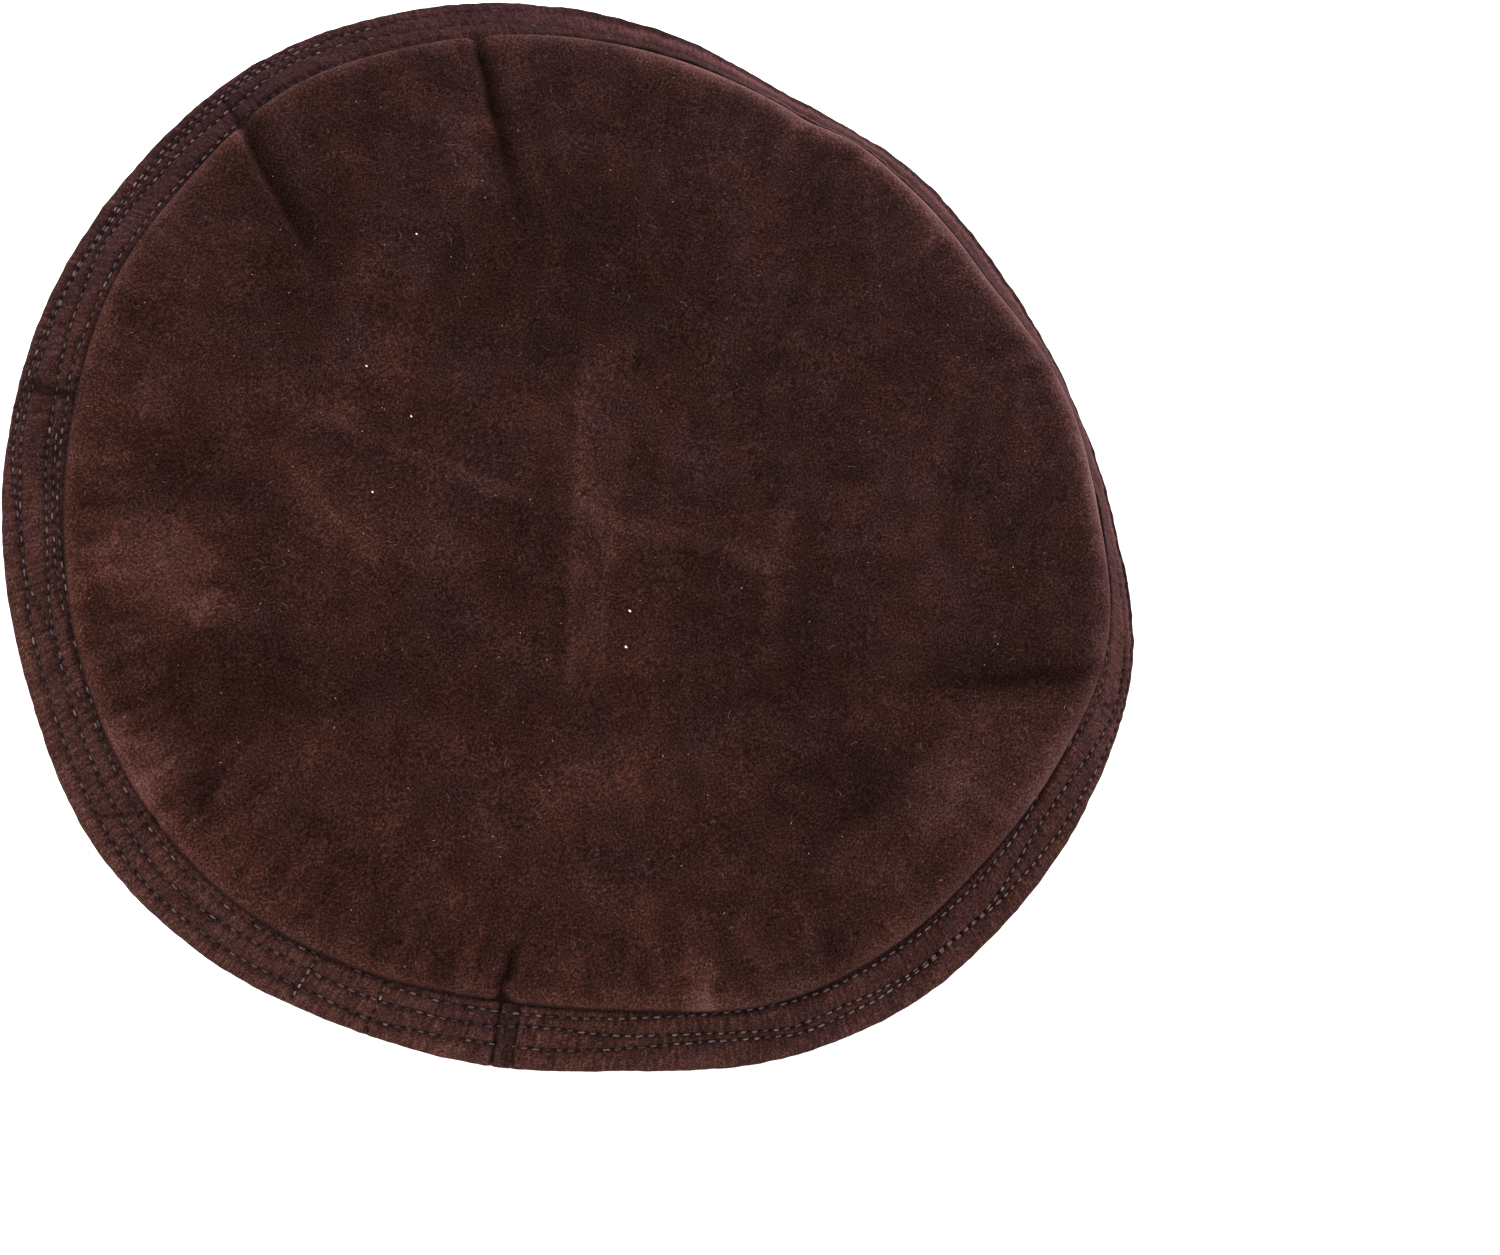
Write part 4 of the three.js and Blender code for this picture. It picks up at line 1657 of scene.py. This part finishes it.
@dataclass
class Topstitching:
    """The machine stitches that lie in the band's rows."""

    length: float = 1.5
    radius: float = 0.25
    slack: float = 0.25
    slant: float = 7.0
    # How far stitches slant the other way, as a share
    back_slant: float = 0.3
    sunk: float = 0.3
    rise: float = 0.45
    # Powers between which the shine of single stitches varies
    shine_power: Pair = (0.4, 2.0)
    seed: int = 7
    shine_round: Pairs = STITCH_SHINE
    thread: SpunThread = SpunThread("spun_polyester_thread", "#8f7a7c", "#5a4649", dark="#120b0d")
    piece: Optional[Piece] = None

    def tree(self) -> Tree:
        """Makes the tree that lays one rounded stitch at each place.

        Returns:
            The tree.
        """
        tree, given = new_tree("lay_stitches", "Length", "Radius", "Slack", "Slant")
        half = number(tree, "MULTIPLY", given["Length"], 0.5)
        size = vector(tree, X=half, Y=given["Radius"], Z=given["Radius"])
        ball = wire(tree, "GeometryNodeMeshUVSphere", {"Segments": 8, "Rings": 7, "Radius": 1.0})
        # The ball's poles are turned to the stitch's two ends
        laid = wire(tree, "GeometryNodeTransform", {"Geometry": ball, "Rotation": (0, math.pi / 2, 0)})
        long = wire(tree, "GeometryNodeTransform", {"Geometry": laid, "Scale": size})
        stitch = wire(tree, "GeometryNodeSetShadeSmooth", {"Geometry": long})
        along, outward = (
            wire(tree, "GeometryNodeInputNamedAttribute", {"Name": name}, data_type="FLOAT_VECTOR")
            for name in ("along", "outward")
        )
        axes = {"Primary Axis": outward, "Secondary Axis": along}
        aim = wire(tree, "FunctionNodeAxesToRotation", axes, primary_axis="Z", secondary_axis="X")
        back = number(tree, "MULTIPLY", given["Slant"], -self.back_slant)
        limits = {2: back, 3: given["Slant"], "Seed": given["Seed"]}
        turn = wire(tree, "FunctionNodeRandomValue", limits, 1, data_type="FLOAT")
        low, high = (number(tree, way, 1.0, given["Slack"]) for way in ("SUBTRACT", "ADD"))
        copies = {
            "Points": given["Geometry"],
            "Instance": stitch,
            "Rotation": turned(tree, aim, vector(tree, Z=turn)),
            "Scale": random_vector(tree, low, high, given["Seed"]),
        }
        end_tree(tree, given["Finish"], copies)
        return tree

    def build(self, places: StitchPlace) -> Piece:
        """Lays the stitches.

        Args:
            places: Where they lie.

        Returns:
            The stitches as one piece.
        """
        mesh = bpy.data.meshes.new("stitch_places")
        outwards = np.array(places.outwards)
        chance = np.random.default_rng(self.seed).random(len(outwards))
        least, most = self.shine_power
        shine = round_value(self.shine_round, np.array(places.angles)) ** (least + (most - least) * chance)
        shine = np.minimum(shine * np.array(places.seen), 1)
        points = np.array(places.middles) + outwards * (self.rise * np.sqrt(shine) - self.sunk)[:, None]
        mesh.from_pydata((points * MM).tolist(), [], [])
        paint(mesh, "shine", shine[None, :])
        for name, values in (("along", np.array(places.directions)), ("outward", outwards)):
            layer = mesh.attributes.new(name, "FLOAT_VECTOR", "POINT")
            layer.data.foreach_set("vector", values.astype(np.float32).ravel())
        inputs = {
            "Length": self.length * MM,
            "Radius": self.radius * MM,
            "Slack": self.slack,
            "Slant": math.radians(self.slant),
            "Seed": self.seed,
            "Finish": self.thread.material(),
        }
        self.piece = run_tree("topstitching", mesh, self.tree(), inputs)
        return self.piece

    def dress(self) -> None:
        """Ties the stitches to the hat."""
        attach(self.piece, "root")


@dataclass
class RolledBrim:
    """The velvet tube below the crown, wound up into a roll that the head goes into."""

    outline: HatOutline
    around: int = 480
    roll_rings: int = 112
    neck_rings: int = 22
    roll_radius: float = 107.0
    half_width: float = 14.5
    half_height: float = 24.5
    centre_height: float = 21.2
    squareness: float = 2.6
    pitch: float = 3.2
    follow: float = 0.35
    follow_mean: float = 134.7
    turn_from: float = 150.0
    turn_to: float = 486.0
    neck_wall: float = 2.0
    neck_inset: float = 3.9
    neck_drop: float = 0.7
    upper_pull: float = 8.0
    lower_pull: float = 14.0
    # Soft folds, read from a plane at a radius that grows up and out, and turned round with the height
    folds: Clouds = rows_of(Cloud, (0.55, 17, 61), (0.25, 7, 62))
    fold_radius: float = 120.0
    fold_up: float = 0.5
    fold_out: float = 0.3
    fold_lean: float = 0.004
    lean_height: float = 20.0
    fold_window: Window = (0.2, 7.0, 40.0, 47.0)
    # The nap's clouds, read from a plane at a radius that grows from ring to ring
    nap_clouds: Clouds = rows_of(Cloud, (0.4, 21, 51), (0.25, 8, 52))
    nap_radius: float = 100.0
    ring_spacing: float = 1.3
    velvet: Velvet = Velvet(
        "soft_velvet_brim", "#281511", "#261512", "#241514", "#0e0706", "#271919", mottle=7.0
    )
    piece: Optional[Piece] = None

    def roll(self, centre: Array) -> Array:
        """Outer turn of the roll in section.

        Args:
            centre: Radius of the roll's middle at each angle.

        Returns:
            Radii and heights, as 2 by turns by angles.
        """
        turn = np.linspace(self.turn_from, self.turn_to, self.roll_rings)
        shrink = self.pitch * (turn - self.turn_from) / 360
        cos, sin = np.cos(np.radians(turn)), np.sin(np.radians(turn))
        power = 2 / self.squareness
        width = (self.half_width - shrink) * np.sign(cos) * np.abs(cos) ** power
        height = self.centre_height + (self.half_height - shrink) * np.sign(sin) * np.abs(sin) ** power
        return np.stack([centre + width[:, None], np.tile(np.maximum(height, 0)[:, None], len(centre))])

    def neck(self, cut: Sections, roll: Array) -> Array:
        """Cloth between the crown seam and the roll, in section.

        Args:
            cut: Sections of the hat.
            roll: Radii and heights of the roll.

        Returns:
            Radii and heights, as 2 by places by angles.
        """
        seam = np.stack([cut.seam - self.neck_inset, cut.seam_height - self.neck_drop])
        start, down = roll[:, 0], roll[:, 1] - roll[:, 0]
        low = start - self.lower_pull * down / np.linalg.norm(down, axis=0)
        pulls = [seam, seam - self.upper_pull * np.stack(cut.outward), low, start]
        t = np.linspace(0, 1, self.neck_rings)[None, :, None]
        weights = [(1 - t) ** 3, 3 * t * (1 - t) ** 2, 3 * t * t * (1 - t), t**3]
        return sum(weight * pull[:, None, :] for weight, pull in zip(weights, pulls))

    def soften(self, loop: Array, angle: Array) -> Array:
        """Gives the wound cloth soft folds that lean round the roll, and leaves its resting face level.

        Args:
            loop: Radii and heights of the section's loop, as 2 by places by angles.
            angle: Angles in degrees.

        Returns:
            The loop with its folds.
        """
        slope = np.roll(loop, -1, axis=1) - np.roll(loop, 1, axis=1)
        slope = slope / np.maximum(np.linalg.norm(slope, axis=0), 1e-6)
        outward = np.stack([-slope[1], slope[0]])
        # A point's height moves the pattern round the hat, so the folds lean
        lean = angle + np.degrees(self.fold_lean * (loop[1] - self.lean_height))
        spread = self.fold_radius + self.fold_up * loop[1] + self.fold_out * loop[0]
        fold = clouds(*on_ring(lean, spread), self.folds)
        soft = loop + outward * fold * span(loop[1], *self.fold_window)
        soft[1] = np.maximum(soft[1], 0)
        return soft

    def build(self) -> Piece:
        """Makes the brim.

        Returns:
            The brim's piece.
        """
        angle = np.arange(self.around) * 360 / self.around
        cut = self.outline.sections(angle)
        roll = self.roll(self.roll_radius + self.follow * (cut.fold - self.follow_mean))
        neck = self.neck(cut, roll)
        slope = np.gradient(neck, axis=1)
        slope = slope / np.linalg.norm(slope, axis=0)
        behind = neck + self.neck_wall * np.stack([-slope[1], slope[0]])
        loop = self.soften(np.concatenate([behind, roll[:, ::-1], neck[:, :-1][:, ::-1]], axis=1), angle)
        mesh = ring_mesh("brim_cloth", cut.points(loop[0], loop[1]), closed=True)
        spread = self.nap_radius + self.ring_spacing * np.arange(loop.shape[1])[:, None]
        # The brim's nap has only brushed clouds, with no painted light
        nap_and_painted_light = clouds(*on_ring(angle, spread), self.nap_clouds)
        paint(mesh, "nap_and_painted_light", nap_and_painted_light)
        paint(mesh, "crease_shade", np.zeros_like(nap_and_painted_light))
        mesh.materials.append(self.velvet.material())
        self.piece = place("brim_cloth", mesh)
        return self.piece

    def dress(self) -> None:
        """Ties the brim to its CAD node and hides that node."""
        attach(self.piece, "root")
        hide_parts("rolled_brim")


class Scatter(NamedTuple):
    """One kind of lint: its piece, how many to a square metre, their size, finish and seed."""

    name: str
    density: float
    length: float
    radius: float
    finish: SpunThread
    seed: int


@dataclass
class Lint:
    """Pale loose fibres, dust and specks caught in the crown's pile."""

    strewn: tuple[Scatter, ...] = rows_of(
        Scatter,
        ("lint_fibres", 12000.0, 1.7, 0.03,
         SpunThread("loose_cotton_fibre", "#7d6a62", "#54443f", roughness=0.8), 19),
        ("lint_dust", 7000.0, 0.3, 0.06,
         SpunThread("pale_cotton_dust", "#c4b2a8", "#8d7a72", roughness=0.9), 20),
    )
    least_size: tuple[float, float, float] = (0.25, 0.25, 0.7)
    most_size: tuple[float, float, float] = (1.3, 1.3, 1.2)
    # Lint lies where the cloth faces up at least so much
    facing: float = 0.5
    # How far a fibre bows, as a share of half its length
    bow: float = 0.7
    speck: float = 0.28
    small_speck: float = 0.75
    large_specks: int = 2
    # A speck's rings of points: their heights and widths as shares
    speck_rings: Pairs = ((-0.6, 0.7), (0.0, 1.0), (0.6, 0.75))
    speck_sides: int = 6
    # How long a speck is for its width, how lumpy, and how far each next one is turned, in degrees
    speck_length: float = 1.5
    lumps: float = 0.25
    lump_step: float = 3.1
    speck_turn: float = 17.0
    fluff: SpunThread = SpunThread("white_cotton_fluff", "#fbf8f4", "#d8d2cc", roughness=0.9)
    pieces: list[Piece] = field(default_factory=list)

    def tree(self) -> Tree:
        """Makes the tree that scatters bent fibres over the crown's upper face.

        Returns:
            The tree.
        """
        tree, given = new_tree("scatter_lint", "Density", "Length", "Radius")
        normal = wire(tree, "GeometryNodeInputNormal", {})
        upright = {0: wire(tree, "ShaderNodeSeparateXYZ", {0: normal}, "Z"), 1: self.facing}
        facing_up = wire(tree, "FunctionNodeCompare", upright, data_type="FLOAT", operation="GREATER_THAN")
        ground = {
            "Mesh": given["Geometry"],
            "Selection": facing_up,
            "Density": given["Density"],
            "Seed": given["Seed"],
        }
        strewn = add_node(tree, "GeometryNodeDistributePointsOnFaces", ground, distribute_method="RANDOM")
        spread = strewn.outputs
        half = number(tree, "MULTIPLY", given["Length"], 0.5)
        back, bow = (number(tree, "MULTIPLY", half, share) for share in (-1.0, self.bow))
        bend = {
            "Resolution": 5,
            "Start": vector(tree, X=back),
            "Middle": vector(tree, Y=bow),
            "End": vector(tree, X=half),
        }
        bent = wire(tree, "GeometryNodeCurveQuadraticBezier", bend)
        ring = wire(tree, "GeometryNodeCurvePrimitiveCircle", {"Resolution": 4, "Radius": given["Radius"]})
        strand = {"Curve": bent, "Profile Curve": ring, "Fill Caps": True}
        turn = random_vector(tree, (0.0, 0.0, 0.0), (0.0, 0.0, 2 * math.pi), given["Seed"])
        copies = {
            "Points": spread["Points"],
            "Instance": wire(tree, "GeometryNodeCurveToMesh", strand),
            "Rotation": turned(tree, spread["Rotation"], turn),
            "Scale": random_vector(tree, self.least_size, self.most_size, given["Seed"]),
        }
        end_tree(tree, given["Finish"], copies)
        return tree

    def build(self, crown: Crown) -> list[Piece]:
        """Strews fibres and dust over the crown and sets the bright specks.

        Args:
            crown: The finished crown.

        Returns:
            The fibres, the dust and the specks.
        """
        tree = self.tree()
        for kind in self.strewn:
            values = {
                "Density": kind.density,
                "Length": kind.length * MM,
                "Radius": kind.radius * MM,
                "Seed": kind.seed,
                "Finish": kind.finish.material(),
            }
            self.pieces.append(run_tree(kind.name, crown.piece.data.copy(), tree, values))
        self.pieces.append(self.set_specks(crown))
        return self.pieces

    def set_specks(self, crown: Crown) -> Piece:
        """Sets the few bright specks as small uneven grains.

        Args:
            crown: The crown they lie on.

        Returns:
            The specks as one piece.
        """
        points, faces = [], []
        steps = range(self.speck_sides)
        for serial, (x, y) in enumerate(LINT_SPECKS):
            dx, dy = x - AXIS_X, y - AXIS_Y
            section = crown.outline.sections(np.array([math.degrees(math.atan2(dy, dx))]))
            z = float(crown.height(section, np.array([[math.hypot(dx, dy)]]))[0, 0])
            size = self.speck * (1.0 if serial < self.large_specks else self.small_speck)
            rings = []
            for level, share in self.speck_rings:
                rings.append([len(points) + step for step in steps])
                for step in steps:
                    turn = math.radians(360 / self.speck_sides * step + self.speck_turn * serial)
                    reach = size * share * (1 + self.lumps * math.sin(self.lump_step * step + serial))
                    side, ahead = self.speck_length * reach * math.cos(turn), reach * math.sin(turn)
                    points.append((x + side, y + ahead, z + size * level))
            for lower, upper in zip(rings, rings[1:]):
                for step in steps:
                    after = (step + 1) % self.speck_sides
                    faces.append((lower[step], lower[after], upper[after], upper[step]))
            faces += [rings[0][::-1], rings[-1]]
        mesh = bpy.data.meshes.new("lint_specks")
        mesh.from_pydata((np.array(points) * MM).tolist(), [], faces)
        mesh.shade_smooth()
        mesh.materials.append(self.fluff.material())
        return place("lint_specks", mesh)

    def dress(self) -> None:
        """Ties the lint to the hat."""
        for piece in self.pieces:
            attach(piece, "root")


@dataclass
class Studio:
    """White paper lit from below, soft light and a turned camera held high over the hat."""

    floor_size: float = 6.0
    floor_drop: float = 0.0004
    sky: float = 1.1
    key_angle: float = 208.0
    key_height: float = 50.0
    key_far: float = 1.7
    key_width: float = 1.2
    key_power: float = 26.0
    lens: float = 81.02
    sensor: float = 36.0
    target: tuple[float, float, float] = (45.10, 9.57, 50.0)
    elevation: float = 68.0
    roll: float = -41.0
    distance: float = 800.0
    paper: StudioPaper = StudioPaper()

    def build_floor(self) -> None:
        """Lays the paper."""
        half = self.floor_size / 2
        mesh = bpy.data.meshes.new("paper_floor")
        sides = [(-half, -half), (half, -half), (half, half), (-half, half)]
        mesh.from_pydata([(x, y, -self.floor_drop) for x, y in sides], [], [(0, 1, 2, 3)])
        mesh.materials.append(self.paper.material())
        place("paper_floor", mesh)

    def build_light(self) -> None:
        """Lights the paper and the hat softly, a little more from one side."""
        scene = bpy.context.scene
        scene.world = bpy.data.worlds.new("soft_white_room")
        scene.world.use_nodes = True
        sky = next(node for node in scene.world.node_tree.nodes if node.type == "BACKGROUND")
        fill(scene.world.node_tree, sky, {"Color": (1.0, 1.0, 1.0, 1.0), "Strength": self.sky})
        light = bpy.data.lights.new("soft_key", "AREA")
        light.shape = "DISK"
        light.size = self.key_width
        light.energy = self.key_power
        turn, up = math.radians(self.key_angle), math.radians(self.key_height)
        way = Vector((math.cos(turn) * math.cos(up), math.sin(turn) * math.cos(up), math.sin(up)))
        lamp = bpy.data.objects.new("soft_key", light)
        lamp.location = way * self.key_far
        lamp.rotation_mode = "QUATERNION"
        lamp.rotation_quaternion = way.to_track_quat("Z", "Y")
        scene.collection.objects.link(lamp)
        scene.view_settings.view_transform = "Standard"

    def build_camera(self) -> None:
        """Sets the camera at the photograph's angle, for a frame of 1500 by 1255."""
        up, turn = math.radians(self.elevation), math.radians(self.roll)
        back = Vector((0, -math.cos(up), math.sin(up)))
        right, above = Vector((1, 0, 0)), Vector((0, math.sin(up), math.cos(up)))
        own_right = math.cos(turn) * right - math.sin(turn) * above
        own_up = math.sin(turn) * right + math.cos(turn) * above
        lens = bpy.data.cameras.new("camera")
        lens.lens = self.lens
        lens.sensor_fit = "HORIZONTAL"
        lens.sensor_width = self.sensor
        camera = bpy.data.objects.new("camera", lens)
        camera.rotation_mode = "QUATERNION"
        camera.rotation_quaternion = Matrix((own_right, own_up, back)).transposed().to_quaternion()
        camera.location = (Vector(self.target) + back * self.distance) * MM
        bpy.context.scene.collection.objects.link(camera)
        bpy.context.scene.camera = camera

    def build(self) -> None:
        """Sets up the whole studio."""
        self.build_floor()
        self.build_light()
        self.build_camera()


def report(piece: Piece) -> None:
    """Logs one finished piece with its count of triangles."""
    LOG.info("%s: %d triangles", piece.name, sum(len(face.vertices) - 2 for face in piece.data.polygons))


def main() -> None:
    """Builds the hat in order, then the studio round it."""
    logging.basicConfig(level=logging.INFO, format="%(name)s: %(message)s")
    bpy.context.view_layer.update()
    outline = HatOutline()
    brim = RolledBrim(outline)
    report(brim.build())
    brim.dress()
    band = StitchedBand(outline)
    places, holes = band.stitches()
    report(band.build(holes))
    stitching = Topstitching()
    report(stitching.build(places))
    stitching.dress()
    band.dress([stitching.piece])
    crown = Crown(outline)
    report(crown.build())
    lint = Lint()
    for piece in lint.build(crown):
        report(piece)
    lint.dress()
    crown.dress(lint.pieces)
    Studio().build()


if __name__ == "__main__":
    main()
